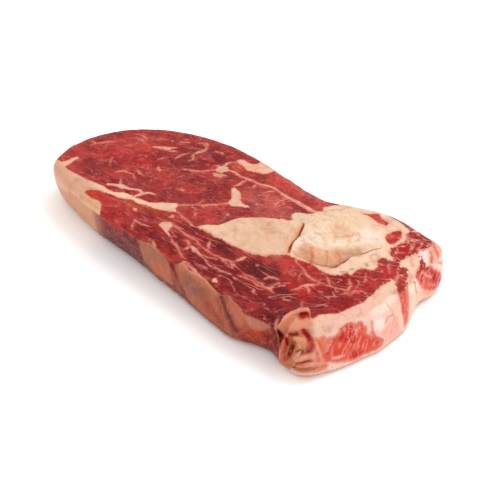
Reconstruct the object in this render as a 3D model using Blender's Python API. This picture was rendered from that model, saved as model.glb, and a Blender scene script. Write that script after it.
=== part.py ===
"""Boneless ribeye steak: one thick slice of beef that lies on its lower cut face.

Metres, +Z up. The origin is on the surface that the steak lies on, under the middle of the slice.
+X runs along the slice, from the round end of the eye muscle to the fatty tail end. The long side
at -Y carries the silver skin and the thick fat cap, and the side at +Y is the trimmed one.
The slice is a box that is moulded to the outline, with its relief, then the cracks are cut into it
and the folds of the knob at its front corner are joined on. All measures below are millimetres.
"""

import math

import bmesh
import bpy
import numpy as np

NAME = "ribeye_steak"
MM = 0.001

# Driving dimensions of the slice.
THICKNESS = 27.5
FOOT_ROUNDING = 4.5
SIDE_BULGE = 1.6

# The slice's outline, counter-clockwise from the tip of the round end. Each station is where the
# top face's edge would be if it were sharp: x, y, how far the foot stands out past it (or, where
# negative, tucks in under it), and the rounding of the shoulder there.
OUTLINE = (
    # round end, all fat on its near side
    (-117.8, -29.2, -3.0, 4.0),
    (-112.5, -45.7, -4.5, 5.5),
    (-98.0, -52.7, -6.0, 6.0),
    (-79.5, -55.4, -5.0, 5.5),
    # near side, under the cap muscle
    (-59.0, -57.0, -4.5, 4.0),
    (-36.0, -57.2, -4.0, 3.0),
    (-13.0, -56.7, -1.5, 2.5),
    (11.5, -56.7, 0.5, 2.5),
    (33.5, -56.7, 3.0, 2.5),
    (53.5, -57.7, 3.0, 3.0),
    (69.0, -56.7, -1.5, 3.0),
    # crevice, then the fat knob at the front corner
    (79.5, -53.2, 0.0, 3.0),
    (91.5, -52.7, 5.5, 4.0),
    (100.2, -42.7, 10.0, 4.5),
    # tail end, which leans out
    (105.5, -25.2, 10.5, 5.0),
    (108.0, -6.2, 12.0, 5.0),
    (108.0, 13.8, 10.0, 5.0),
    (107.5, 32.3, 1.5, 4.5),
    (107.2, 46.8, 2.5, 4.0),
    (103.8, 58.0, -0.5, 4.0),
    # far side: the hump behind the fat kernel, then the trimmed edge of the eye
    (86.5, 60.1, -2.0, 4.0),
    (62.5, 59.8, -3.0, 4.0),
    (43.5, 50.8, -3.0, 3.5),
    (26.0, 43.3, -3.0, 3.0),
    (0.5, 43.1, -3.0, 3.0),
    (-27.0, 44.0, -3.0, 3.0),
    (-54.5, 40.8, -3.0, 3.0),
    (-80.0, 30.6, -2.5, 3.0),
    (-101.8, 13.8, -2.0, 3.0),
    (-114.5, -7.2, -2.0, 3.5),
)
# The stations where the box's four upright edges land: near left, near right, far right, far left.
CORNERS = (1, 12, 19, 27)

# Cells of the box along X, Y and Z before it is moulded, and where along X and Y they are packed
# closer, as a share of the side, and by how much.
CELLS = (68, 36, 8)
FINE_PLACE = (0.76, 0.55)
FINE_PACKING = 0.055

# The kernel of hard fat between the muscles, and the part of it beyond the crack, which stands up
# like a block over the strip of fat in front of it.
KERNEL = (
    (-7, -27.5), (14, -27), (28, -24.5), (38, -21), (46, -11), (54, -8.5), (66, -7), (76, -6), (82, 1),
    (85, 12), (84, 26), (85, 32), (79, 38), (72, 47), (58, 48.5), (50, 51), (40, 46), (36, 32),
    (26, 19), (20, 8), (10, -1.5), (5.5, -8), (3, -17),
)
KERNEL_RISE = 0.8
KERNEL_EDGE = 3.0
CRACK = ((36.5, 16.5), (39.5, 11.5), (42, 5), (44.5, -2), (48, -8.5))
CRACK_WIDTH = 1.7
CRACK_DEPTH = 5.5
FOLD = (
    (47.2, -7.4), (51.5, -6.2), (57.5, -4.6), (64.4, -3.3), (69.8, -1.6), (73, 1.8), (73.8, 8), (73.2, 15),
    (75.6, 20.4), (81, 30.4),
)
FOLD_DEPTH = 3.4
FOLD_END = 0.12     # share of its length over which it fades out at either end
BLOCK_RISE = 1.3
BLOCK_REACH = (8, 30)   # it stands highest up to the first distance from the fold, and fades by the second
BLOCK_SLOPE = 6.0   # from the bottom of the fold up to the top of the block
STRIP_SLOPE = 3.2   # and up to the strip
STRIP_DROP = 0.6
STRIP_REACH = (2, 9)

# How far the lean top face swells and sinks, and over what distance.
SWELL = 0.45
SWELL_SPAN = 34.0

# Rolls of fat and skin at the front corner: their thickness, and the line each one follows.
ROLLS = {
    "lip": (2.9, ((86.5, -54.5, 21.5), (84.4, -51.0, 26.2), (84.2, -43.0, 27.0), (90.5, -34.5, 26.0))),
    "front_column": (2.7, ((90.6, -52.6, 25), (91.2, -55.4, 19), (91.0, -56.4, 12), (90.8, -56.0, 2.8))),
    "middle_curl": (2.3, ((100.5, -47.6, 23.5), (97.4, -52.2, 20), (98.2, -53.2, 15), (102.5, -50.6, 12.6))),
    "low_curl": (2.4, ((95.4, -55.2, 5.5), (99.5, -54.0, 9.6), (103.4, -51.0, 10.4), (107, -45.0, 9.0))),
    "foot": (2.9, ((92.5, -55.4, 3.1), (99, -54.6, 3.1), (105.4, -50, 3.1), (111.5, -40.5, 3.1))),
}
LOWEST_ROLL = 0.25
# Grooves beside them and across the near side, cut the same way.
GROOVES = {
    "crevice": (3.3, ((82.5, -53.6, 29), (85.4, -53.2, 21), (86.6, -54.2, 12), (87, -55.2, -1.5))),
    "hollow": (2.4, ((94.6, -54.6, 24.5), (94.9, -56.6, 18), (95.4, -57.4, 12), (96.4, -57.2, 7))),
    "left_crease": (1.7, ((0.8, -58.0, 26.5), (5, -58.7, 20), (10, -59.5, 15), (19, -59.6, 4))),
    "right_crease": (1.8, ((44, -59.0, 25), (53.2, -61, 19), (59.3, -61.2, 13.5), (62.2, -60, 3))),
    "cross_hollow": (1.7, ((97, -55.4, 7.2), (101.2, -53.4, 6.8), (105.6, -49.6, 6.6), (108, -46.6, 6.6))),
}


def closed_curve(values, at):
    """Catmull-Rom through the rows of values, which close on themselves. at counts stations."""
    count = len(values)
    first = np.floor(at).astype(int)
    return spline(*(values[(first + k) % count] for k in (-1, 0, 1, 2)), (at - first)[:, None])


def open_curve(values, share):
    """The same through rows that don't close, at shares from 0 to 1 of the way."""
    padded = np.vstack([2 * values[0] - values[1], values, 2 * values[-1] - values[-2]])
    at = np.clip(share, 0, 1) * (len(values) - 1)
    first = np.minimum(at.astype(int), len(values) - 2)
    return spline(*(padded[first + k] for k in range(4)), (at - first)[:, None])


def spline(p0, p1, p2, p3, t):
    """One stretch of a Catmull-Rom curve, from p1 to p2."""
    return p1 + 0.5 * t * (
        p2 - p0 + t * (2 * p0 - 5 * p1 + 4 * p2 - p3 + t * (3 * (p1 - p2) + p3 - p0))
    )


def smooth_step(value):
    """Eases from 0 to 1 as the value does."""
    held = np.clip(value, 0, 1)
    return held * held * (3 - 2 * held)


def faded(away, near, far):
    """1 up to the distance near, easing to 0 at the distance far."""
    return smooth_step((far - away) / (far - near))


def path_distance(points, path, closed=False):
    """Distance of the points to a path, the share of the way where they are nearest it, and their
    side of it: 1 on the left, -1 on the right."""
    corners = np.array(path, float)
    starts = corners if closed else corners[:-1]
    ends = np.roll(corners, -1, axis=0) if closed else corners[1:]
    steps = ends - starts
    best = np.full(len(points), np.inf)
    share, side = np.zeros(len(points)), np.ones(len(points))
    for k, (start, step) in enumerate(zip(starts, steps)):
        away = points - start
        t = np.clip(away @ step / (step @ step), 0, 1)
        distance = np.linalg.norm(away - t[:, None] * step, axis=1)
        nearer = distance < best
        best[nearer] = distance[nearer]
        share[nearer] = (k + t[nearer]) / len(steps)
        side[nearer] = np.where(step[0] * away[nearer, 1] - step[1] * away[nearer, 0] >= 0, 1, -1)
    return best, share, side


def inside(points, outline):
    """Which points lie inside a closed outline."""
    found = np.zeros(len(points), bool)
    corners = np.array(outline, float)
    for (x0, y0), (x1, y1) in zip(corners, np.roll(corners, -1, axis=0)):
        crosses = (y0 > points[:, 1]) != (y1 > points[:, 1])
        level = np.divide(points[:, 1] - y0, y1 - y0, out=np.zeros(len(points)), where=crosses)
        found ^= crosses & (points[:, 0] < x0 + level * (x1 - x0))
    return found


def relief(flat):
    """How far the top face stands above or below its plane at these places, x and y."""
    swell = SWELL * np.sin(flat[:, 0] / SWELL_SPAN + 1) * np.cos(flat[:, 1] / SWELL_SPAN * 1.7 + 0.4)
    edge, _, _ = path_distance(flat, KERNEL, closed=True)
    within = np.where(inside(flat, KERNEL), edge, -edge)
    fat = KERNEL_RISE * smooth_step(within / KERNEL_EDGE + 0.5)
    # the fold: a valley between the block, on the left of its line, and the strip on the right
    away, share, side = path_distance(flat, FOLD)
    depth = FOLD_DEPTH * np.sin(math.pi * np.clip(share, 0.02, 0.98)) ** 0.6
    slope = np.where(side > 0, BLOCK_SLOPE, STRIP_SLOPE)
    valley = -depth * (1 - smooth_step(away / slope))
    ends = smooth_step(np.minimum(share, 1 - share) / FOLD_END)
    _, _, beyond = path_distance(flat, CRACK)
    block = (side > 0) & (beyond > 0)
    rise = BLOCK_RISE * faded(away, *BLOCK_REACH) * np.where(block, smooth_step(away / BLOCK_SLOPE), 0)
    drop = -STRIP_DROP * faded(away, *STRIP_REACH) * np.where(side < 0, ends, 0)
    return swell + fat + valley * ends + rise * smooth_step(within / 5) + drop


def even_stations(start, end, share):
    """The station numbers that lie at these shares of the outline's length from start to end."""
    stations = np.array(OUTLINE)
    fine = np.linspace(start, end, 400)
    line = closed_curve(stations, fine)[:, :2]
    along = np.concatenate([[0], np.cumsum(np.linalg.norm(np.diff(line, axis=0), axis=1))])
    return np.interp(share * along[-1], along, fine)


def section(level):
    """The side's profile at level, from 0 at the top face's edge to 1 at the foot: which part of
    it this is, and how far down and how far out within that part."""
    quarter = math.pi / 2
    if level <= 1 / 3:
        turn = 3 * level * quarter
        return ("shoulder", 1 - math.cos(turn), 1 - math.sin(turn))
    if level < 2 / 3:
        return ("side", 3 * level - 1, 0)
    turn = (3 * level - 2) * quarter
    return ("foot", 1 - math.sin(turn), 1 - math.cos(turn))


def ring(at, level):
    """Points of the slice's surface at these stations and this level of the side, x, y and z."""
    stations = np.array(OUTLINE)
    here = closed_curve(stations, at)
    step = closed_curve(stations, at + 0.01) - closed_curve(stations, at - 0.01)
    out = np.stack([step[:, 1], -step[:, 0]], axis=1)
    out /= np.linalg.norm(out, axis=1)[:, None]
    lean, shoulder = here[:, 2], here[:, 3]
    part, down, in_share = section(level)
    if part == "shoulder":
        height, inset = THICKNESS - shoulder * down, shoulder * in_share
    elif part == "side":
        top = THICKNESS - shoulder
        height, inset = top + (FOOT_ROUNDING - top) * down, 0
    else:
        height = np.full(len(shoulder), FOOT_ROUNDING * down)
        inset = FOOT_ROUNDING * in_share
    share = 1 - height / THICKNESS
    push = lean * share + SIDE_BULGE * np.sin(math.pi * share) - inset
    return np.column_stack([here[:, :2] + out * push[:, None], height])


def patch(u, v, level):
    """Coons patch over the outline at this level. u and v run from 0 to 1 across the slice."""
    a, b, c, d = (float(corner) for corner in CORNERS)
    count = len(OUTLINE)
    near = ring(even_stations(a, b, u), level)
    far = ring(even_stations(d, c, u), level)
    left = ring(even_stations(a + count, d, v), level)
    right = ring(even_stations(b, c, v), level)
    corner = [ring(np.array([s]), level) for s in (a, b, c, d)]
    u, v = u[:, None], v[:, None]
    return (
        (1 - v) * near + v * far + (1 - u) * left + u * right
        - (1 - u) * (1 - v) * corner[0] - u * (1 - v) * corner[1]
        - u * v * corner[2] - (1 - u) * v * corner[3]
    )


def packed(share, place):
    """Moves shares of a side so that its cells lie closer together round a place."""
    turn = 2 * math.pi
    return share - FINE_PACKING * (np.sin(turn * (share - place)) + math.sin(turn * place))


def mould(points):
    """Moves the box's points, from -1 to 1 each way, to the slice's surface."""
    u, v, w = (points[:, k] / 2 + 0.5 for k in range(3))
    u, v = (packed(share, place) for share, place in zip((u, v), FINE_PLACE))
    surface = np.empty_like(points)
    for level in np.unique(np.round(1 - w, 6)):
        chosen = np.abs(1 - w - level) < 1e-5
        surface[chosen] = patch(u[chosen], v[chosen], level)
    surface[:, 2] += relief(surface[:, :2]) * (surface[:, 2] / THICKNESS) ** 4
    return surface


def subdivided_box(cells):
    """A box from -1 to 1 with its faces cut into cells, as a bmesh."""
    mesh = bmesh.new()
    bmesh.ops.create_cube(mesh, size=2)
    for axis, count in enumerate(cells):
        along = [e for e in mesh.edges if abs((e.verts[0].co - e.verts[1].co)[axis]) > 1e-6]
        if count > 1:
            bmesh.ops.subdivide_edges(mesh, edges=along, cuts=count - 1, use_grid_fill=True)
    return mesh


def made(mesh, name):
    """Turns a bmesh into an object."""
    bmesh.ops.recalc_face_normals(mesh, faces=mesh.faces)
    data = bpy.data.meshes.new(name)
    mesh.to_mesh(data)
    mesh.free()
    return bpy.data.objects.new(name, data)


def slice_body():
    """The slice without its cracks and rolls. Its underside is one flat face."""
    box = subdivided_box(CELLS)
    points = mould(np.array([v.co for v in box.verts]))
    for vert, point in zip(box.verts, points):
        vert.co = point * MM
    underside = [f for f in box.faces if all(v.co.z < 1e-9 for v in f.verts)]
    bmesh.ops.dissolve_faces(box, faces=underside, use_verts=True)
    return made(box, NAME)


def crack_cutter():
    """A wedge along the crack, thin at its ends and at its bottom."""
    box = subdivided_box((8, 2, 1))
    unit = np.array([v.co for v in box.verts])
    share = unit[:, 0] / 2 + 0.5
    path = np.array(CRACK, float)
    middle = open_curve(path, share)
    step = open_curve(path, share + 0.01) - open_curve(path, share - 0.01)
    across = np.stack([-step[:, 1], step[:, 0]], axis=1) / np.linalg.norm(step, axis=1)[:, None]
    above = unit[:, 2] > 0
    opening = np.sin(math.pi * np.clip(share, 0.06, 0.94)) ** 0.5
    half = CRACK_WIDTH / 2 * opening * np.where(above, 1.35, 0.12)
    flat = middle + across * (unit[:, 1] * half)[:, None]
    height = np.where(above, THICKNESS + 4, THICKNESS - CRACK_DEPTH * opening)
    for vert, point in zip(box.verts, np.column_stack([flat, height])):
        vert.co = point * MM
    return made(box, "crack_cutter")


def roll(name, thickness, line, sides=12, rings=14):
    """A round-ended roll that follows a line of points, made from a sphere."""
    ball = bmesh.new()
    bmesh.ops.create_uvsphere(ball, u_segments=sides, v_segments=rings, radius=1)
    unit = np.array([v.co for v in ball.verts])
    share = np.arccos(np.clip(unit[:, 2], -1, 1)) / math.pi
    path = np.array(line, float)
    middle = open_curve(path, share)
    step = open_curve(path, share + 0.02) - open_curve(path, share - 0.02)
    step /= np.linalg.norm(step, axis=1)[:, None]
    outward = np.cross(step, np.array([0.6, 0.35, 0.72]))
    outward /= np.linalg.norm(outward, axis=1)[:, None]
    aside = np.cross(step, outward)
    girth = np.sin(math.pi * np.clip(share, 0, 1)) ** 0.45
    angle = np.arctan2(unit[:, 1], unit[:, 0])
    wide = thickness * girth
    points = middle + (outward * np.cos(angle)[:, None] + aside * np.sin(angle)[:, None]) * wide[:, None]
    points[:, 2] = np.maximum(points[:, 2], LOWEST_ROLL) if line[-1][2] > 0 else points[:, 2]
    for vert, point in zip(ball.verts, points):
        vert.co = point * MM
    return made(ball, name)


def combine(body, helpers, operation):
    """Cuts the helpers from the body or joins them to it, one after the other, and removes them."""
    for helper in helpers:
        bpy.context.scene.collection.objects.link(helper)
        change = body.modifiers.new(helper.name, "BOOLEAN")
        change.operation = operation
        change.solver = "EXACT"
        change.object = helper
    graph = bpy.context.evaluated_depsgraph_get()
    body.data = bpy.data.meshes.new_from_object(body.evaluated_get(graph))
    body.modifiers.clear()
    for helper in helpers:
        bpy.data.objects.remove(helper)


def finish(name, colour, roughness):
    """A plain surface finish."""
    material = bpy.data.materials.new(name)
    material.use_nodes = True
    shader = material.node_tree.nodes["Principled BSDF"]
    shader.inputs["Base Color"].default_value = (*colour, 1)
    shader.inputs["Roughness"].default_value = roughness
    shader.inputs["Metallic"].default_value = 0
    return material


def clothe(steak):
    """Lean meat all over, with hard fat on the kernel and along the sides."""
    steak.data.materials.clear()
    steak.data.materials.append(finish("lean_beef", (0.33, 0.035, 0.03), 0.35))
    steak.data.materials.append(finish("beef_fat", (0.75, 0.52, 0.38), 0.4))
    centres = np.array([face.center for face in steak.data.polygons]) / MM
    upright = np.array([abs(face.normal.z) < 0.75 for face in steak.data.polygons])
    kernel = inside(centres[:, :2], KERNEL) & (centres[:, 2] > THICKNESS / 2)
    for face, fat in zip(steak.data.polygons, kernel | upright):
        face.material_index = int(fat)
    steak.data.shade_smooth()
    steak.data.set_sharp_from_angle(angle=math.radians(50))


def main():
    for old in list(bpy.data.objects):
        bpy.data.objects.remove(old)
    parts = bpy.data.collections.new(NAME)
    bpy.context.scene.collection.children.link(parts)
    steak = slice_body()
    parts.objects.link(steak)
    grooves = [roll(name, *shape) for name, shape in GROOVES.items()]
    combine(steak, [crack_cutter(), *grooves], "DIFFERENCE")
    combine(steak, [roll(name, *shape) for name, shape in ROLLS.items()], "UNION")
    clothe(steak)


main()
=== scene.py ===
"""Looks of a raw ribeye steak that lies on its lower cut face. Measures are millimetres."""
import math

import bmesh
import bpy
import numpy as np
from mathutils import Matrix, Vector


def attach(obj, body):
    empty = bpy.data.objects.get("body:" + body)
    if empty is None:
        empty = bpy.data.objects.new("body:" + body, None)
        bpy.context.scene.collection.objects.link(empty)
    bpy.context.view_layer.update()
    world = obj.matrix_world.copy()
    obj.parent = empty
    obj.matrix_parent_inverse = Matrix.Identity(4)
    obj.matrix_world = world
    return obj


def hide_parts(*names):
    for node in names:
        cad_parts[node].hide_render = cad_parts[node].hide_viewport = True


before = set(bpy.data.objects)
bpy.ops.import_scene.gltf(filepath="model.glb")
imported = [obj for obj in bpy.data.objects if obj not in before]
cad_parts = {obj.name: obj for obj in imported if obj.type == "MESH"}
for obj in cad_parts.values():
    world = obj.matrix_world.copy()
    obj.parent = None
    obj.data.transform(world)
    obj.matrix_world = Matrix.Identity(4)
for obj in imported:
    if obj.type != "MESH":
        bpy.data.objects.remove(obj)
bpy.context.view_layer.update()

MM = 0.001
THICKNESS = 27.5
# Cell sizes of the mesh, and of the knob's own mesh.
VOXEL = 0.93
FINE_VOXEL = 0.46
# Relief of the top face: its swell, the kernel's step, the fold's depth and the width of its cliff, how
# far the block beside it rises and the strip beyond it drops, and the crack's depth and half width.
SWELL = 0.45
KERNEL_STEP = 0.8
FOLD_DEPTH = 4.2
CLIFF_WIDTH = 7.5
BLOCK_RISE = 1.0
STRIP_DROP = 0.6
CRACK_DEPTH = 2.4
CRACK_HALF = 0.7
# The top face lies above this height. The near side and the tail end begin at these places, and
# on the far side the cut face's lean hangs down to this height.
TOP_FROM = 19
NEAR_Y, NEAR_END = -38, 90
TAIL_X, TAIL_END = 96, 59
FAR_HEM = 23.5
# Where the camera looks, from how far, and how high and which way round in degrees.
TARGET = (18.8, -9.6, 13.7)
DISTANCE = 914.286
LEVEL = 40
PLAN = -45
LENS = 115.2
# The lamp, in metres and watts, and the even light of the room.
LAMP_PLACE = (0.1, 0.66, 1.02)
LAMP_SIZE = 0.8
LAMP_POWER = 7
ROOM_LIGHT = 1.15
FLOOR = (0.97, 0.965, 0.95, 1)

# The outline, counter-clockwise from the tip of the round end, as in the solid.
OUTLINE = (
    (-117.8, -29.2), (-112.5, -45.7), (-98, -52.7), (-79.5, -55.4), (-59, -57), (-36, -57.2),
    (-13, -56.7), (11.5, -56.7), (33.5, -56.7), (53.5, -57.7), (69, -56.7), (79.5, -53.2), (91.5, -52.7),
    (100.2, -42.7), (105.5, -25.2), (108, -6.2), (108, 13.8), (107.5, 32.3), (107.2, 46.8), (103.8, 58),
    (86.5, 60.1), (62.5, 59.8), (43.5, 50.8), (26, 43.3), (0.5, 43.1), (-27, 44), (-54.5, 40.8),
    (-80, 30.6), (-101.8, 13.8), (-114.5, -7.2),
)
# The kernel of fat, the crack that splits it, and the fold that its right half stands over.
KERNEL = (
    (-7, -27.5), (14, -27), (28, -24.5), (38, -21), (46, -11), (54, -8.5), (66, -7), (76, -6), (82, 1),
    (85, 12), (84, 26), (85, 32), (79, 38), (72, 47), (58, 48.5), (50, 51), (40, 46), (36, 32), (26, 19),
    (20, 8), (10, -1.5), (5.5, -8), (3, -17),
)
CRACK = ((36.5, 16.5), (39.5, 11.5), (42, 5), (44.5, -2), (48, -8.5))
FOLD = (
    (47.2, -7.4), (51.5, -6.2), (57.5, -4.6), (64.4, -3.3), (69.8, -1.6), (73, 1.8), (73.8, 8),
    (73.2, 15), (75.6, 20.4), (81, 30.4),
)
# The corner that the folded knob takes up.
KNOB = ((80, -58), (83, -48), (86, -38), (96, -44), (108, -44), (108, -58))
# Where the knob gets a finer mesh of its own.
KNOB_ZONE = (
    (82.5, -75), (82, -56), (80.6, -48), (84.5, -33), (97, -36), (108, -40), (125, -41), (125, -75),
)
# The folds and the crack get a finer mesh too.
FINE_ZONE = (
    (35, 20), (46, -12), (62, -8), (76, -7), (82, 2), (84, 32), (76, 32), (66, 12), (50, 6), (42, 22),
)
# The plane that the knob faces: its middle, and its direction.
KNOB_MIDDLE = (90.8, -56.0, 14.0)
KNOB_FACING = np.array((0.54, -0.54, 0.64))
# Where that plane shows the knob rather than the near side or the tail.
KNOB_FACE = (
    (-4.2, 12.9), (-0.5, 17.4), (2, 19.4), (5, 21.5), (8.8, 22.8), (13.2, 22.8), (14, 21), (14, 17.8),
    (20, 16.5), (21, 8), (20, -6), (17, -20), (-2, -20), (-2.6, -8), (-2.6, 0), (-2.8, 6), (-4, 9),
)
# Two forms that the folds and the colours of the knob share, across and up that plane.
CREASE = (6.4, -6.5, 9, -6.3, 11.4, -5.5, 13.8, -5, 14.5, -5.8)
TONGUE = (5.6, 6.8, 8.4, 6.2, 10, 5.6, 10.9, 3.8, 10.8, 1.2)
# Rolls of skin on the knob, and the hollows between them where the height is below 0: height, half
# width, then places across and up that plane.
KNOB_FOLDS = (
    (1, 1.5, 1.1, 8, 0, 4.3, -1.1, -0.5, -1.6, -4.8, 0, -8, 3.2, -9.6),
    (1.3, 1.4, *TONGUE),
    (1, 0.9, 8.5, -0.4, 7, -1.7, 5.3, -3.7),
    (1.2, 2.1, 7.2, -4.2, 10.4, -3, 13.4, -2.6),
    (1.1, 1.5, 7.6, -7.8, 10.6, -7.9, 14.6, -7.4),
    (1.4, 1.6, 3.7, -10.4, 5.9, -12.4, 10.1, -13.2, 14.9, -12.2, 19.1, -10.4, 27, -9),
    (0.9, 1.2, -3.4, 12.4, -0.8, 16.2, 1.8, 18.2, 5, 20.1, 8.8, 21.4, 13.2, 21.5),
    (0.8, 2.4, -1, 12.6, 2, 16, 5, 17.6),
    (-2.6, 1.3, -2.9, 11.2, -1.7, 8.6, -1.4, 5.6),
    (-1.6, 1.4, 3.2, 8.6, 6.6, 9),
    (-1.6, 1.5, 9.6, 10.8, 11.6, 9.2, 13.2, 7, 14.4, 3.6, 13.6, 0.4),
    (-1, 1.6, 9, 18.4, 12, 18.8),
    (-1.5, 1.2, 4.6, 4.2, 3.9, 1.6, 2.8, -1.6),
    (-0.8, 0.8, 6.2, -0.1, 8.5, 1.1),
    (-0.8, 0.8, 8.8, -1.1, 10.6, 1.2),
    (-1, 0.9, *CREASE),
    (-0.8, 0.8, 5.9, -6.6, 5.2, -8.8, 4.4, -10.4),
    (-0.8, 0.8, 1.8, 6.4, 2.4, 3.4, 1.4, 0),
)

# Fat that shows on the top face: outlines as x, y, x, y.
FAT_PATCHES = {
    "kernel": (
        -5.5, -28, -4, -26, -2, -23.5, 1, -21, 3.6, -19.5, 4.2, -17, 5, -14, 5, -11, 5.6, -8, 7, -5, 9,
        -3.2, 12, 0.5, 15, 3, 20, 6.2, 25, 10, 28, 13, 29.3, 15.3, 27, 15.6, 25.4, 17.5, 25.4, 21, 27.5,
        23.2, 31.5, 24.2, 33.4, 27, 33.5, 30, 36, 32.5, 33, 36, 35, 39, 38, 45, 40, 60, 62, 62, 90, 62,
        83.5, 54.5, 82.8, 51, 86.3, 47, 86.4, 42, 86.6, 38.2, 84.2, 35.5, 87.5, 32.2, 91, 30, 94, 29, 91,
        27.2, 88.4, 26.6, 86.6, 25.4, 86.8, 22, 89.6, 18, 90.8, 14.6, 88.6, 13.2, 86.2, 12.6, 84.6, 9.6,
        85, 6, 85.6, 2, 82.5, 2.6, 80.4, 0.6, 80.4, -1.8, 77.6, -4.6, 73.4, -6.4, 69.6, -6.8, 66, -6.2,
        61, -6.4, 57, -7.6, 55, -8.6, 51, -9.5, 48, -11, 45, -14, 42, -16.5, 42, -18.5, 38.5, -21, 35,
        -23, 30, -24.5, 25, -25.2, 22, -26.2, 14, -26.9, 5, -27.2, -2, -28,
    ),
    "wedge": (
        -43, -33.2, -40.5, -31.5, -37, -28.3, -34, -25.7, -31.2, -23, -29.5, -21.7, -28, -22.2, -26.3,
        -25, -24, -27.6, -27, -29.2, -31, -31.2, -35, -34, -40, -34.9, -44, -35,
    ),
    "tooth": (
        -16.6, 12.6, -13, 12.2, -10, 11, -8, 8.6, -5, 6.2, -2, 5.6, 2, 6, 3.2, 4.6, 0.5, 3, -3, 0.8, -5,
        -1, -8, -0.8, -8.8, 1.5, -10, 4, -13, 6, -15.6, 8, -17, 10.5,
    ),
    "far_blob": (
        -34.5, 32.3, -33, 34.6, -30, 35.6, -24.5, 36.4, -23.2, 38, -24, 48, -11, 48, -11.8, 38.5, -12.3,
        36.6, -14, 34.5, -17, 33, -20, 31.4, -22.5, 30.4, -26.5, 30.5, -31, 31,
    ),
    "junction": (
        -37.4, 20, -35.6, 22.6, -33, 23.8, -29, 22.5, -30.6, 20.6, -31.6, 17.6, -34, 16, -36.2, 17,
    ),
    "junction_tail": (
        -34.6, 14, -33, 12, -30.2, 12.2, -28.6, 14, -29.5, 15.4, -27, 17.4, -29.4, 17.6, -32, 15.6,
    ),
    "diamond": (
        -22.2, -42.4, -22.5, -38.9, -18.4, -35.6, -16.2, -36.9, -14, -41.8, -9.6, -44.4, -13.9, -44,
        -18.6, -43,
    ),
    "low_speck": (33.2, -52, 34.4, -50.4, 36, -51.4, 37.4, -51.6, 37, -53, 35.4, -53, 34.8, -54.2),
    "tongue_blob": (
        -44, -41.5, -42.8, -40.6, -41.4, -41.8, -40.4, -42, -40.8, -43.4, -42, -43, -43.2, -43,
    ),
    "cap": (
        -130, -41, -130, -75, -52, -75, -55.5, -58, -57.5, -54.6, -59.5, -53, -62, -52.1, -66, -52.2, -70,
        -53, -75, -52.3, -76.4, -50.5, -74, -48.2, -70, -45, -65, -43, -61, -41.2, -62, -39.6, -65, -40,
        -70, -41.2, -75, -41.6, -80, -42.4, -85, -43.6, -92, -44.6, -98, -45, -102, -44, -102.6, -39,
        -103, -33, -105, -33, -106, -39, -107.6, -42.6, -111, -42.4, -115, -41,
    ),
    "tail": (
        140, -70, 91, -70, 88, -58, 84.8, -52.4, 83.6, -49, 83.2, -45.3, 83.2, -41, 84.6, -36.2, 86.6,
        -35, 86.4, -38, 88.2, -43.4, 90.5, -42, 93, -39.5, 94.2, -33.5, 97, -30, 100, -26, 101.4, -20,
        102.4, -15, 103.6, -9, 103.6, -4, 102, 3, 101.6, 8, 102.8, 12, 103.2, 15, 101.8, 16.8, 103.5,
        17.4, 107, 15.5, 108, 15, 118, 5, 140, 5,
    ),
    "tail_far": (
        99, 25.5, 101.5, 28, 104, 27.6, 107, 23.4, 110, 19.6, 114, 15, 124, 9, 124, 20, 118, 22.5, 112,
        26.8, 109, 30, 106, 35, 103, 39, 101, 41.4, 105.5, 39.6, 108, 38, 111, 35.6, 114, 36.6, 118, 35.6,
        130, 34, 130, 66, 96, 66, 97, 56, 99.5, 53, 99.5, 46, 97.6, 40, 96, 35, 96.4, 30,
    ),
}
# Lean that shows inside that fat.
RED_PATCHES = {
    "far_spot": (
        53.4, 47.5, 56, 50, 58, 52, 60, 54, 61.5, 53, 64, 51.8, 68, 51.6, 70, 51, 70, 48, 67.5, 48, 66,
        46.8, 63, 47.4, 60, 48.2, 56, 48,
    ),
    "round_spot": (
        75.4, 46, 76.4, 49.5, 79, 50.6, 81.6, 49, 83.6, 46, 84.2, 42, 84.4, 38.8, 82, 37.8, 79.5, 38.6,
        77.4, 41, 75.7, 43.3,
    ),
    "far_rim": (64, 57.6, 70, 57, 76, 56, 83, 54.6, 84, 58, 80, 70, 66, 70),
    "tail_band": (
        101, 41.6, 105.5, 39.6, 108, 38, 111, 35.6, 114, 36.6, 118, 35.6, 130, 32, 130, 20, 118, 22.5,
        112, 26.8, 109, 30, 106, 35, 103, 39,
    ),
}

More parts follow.
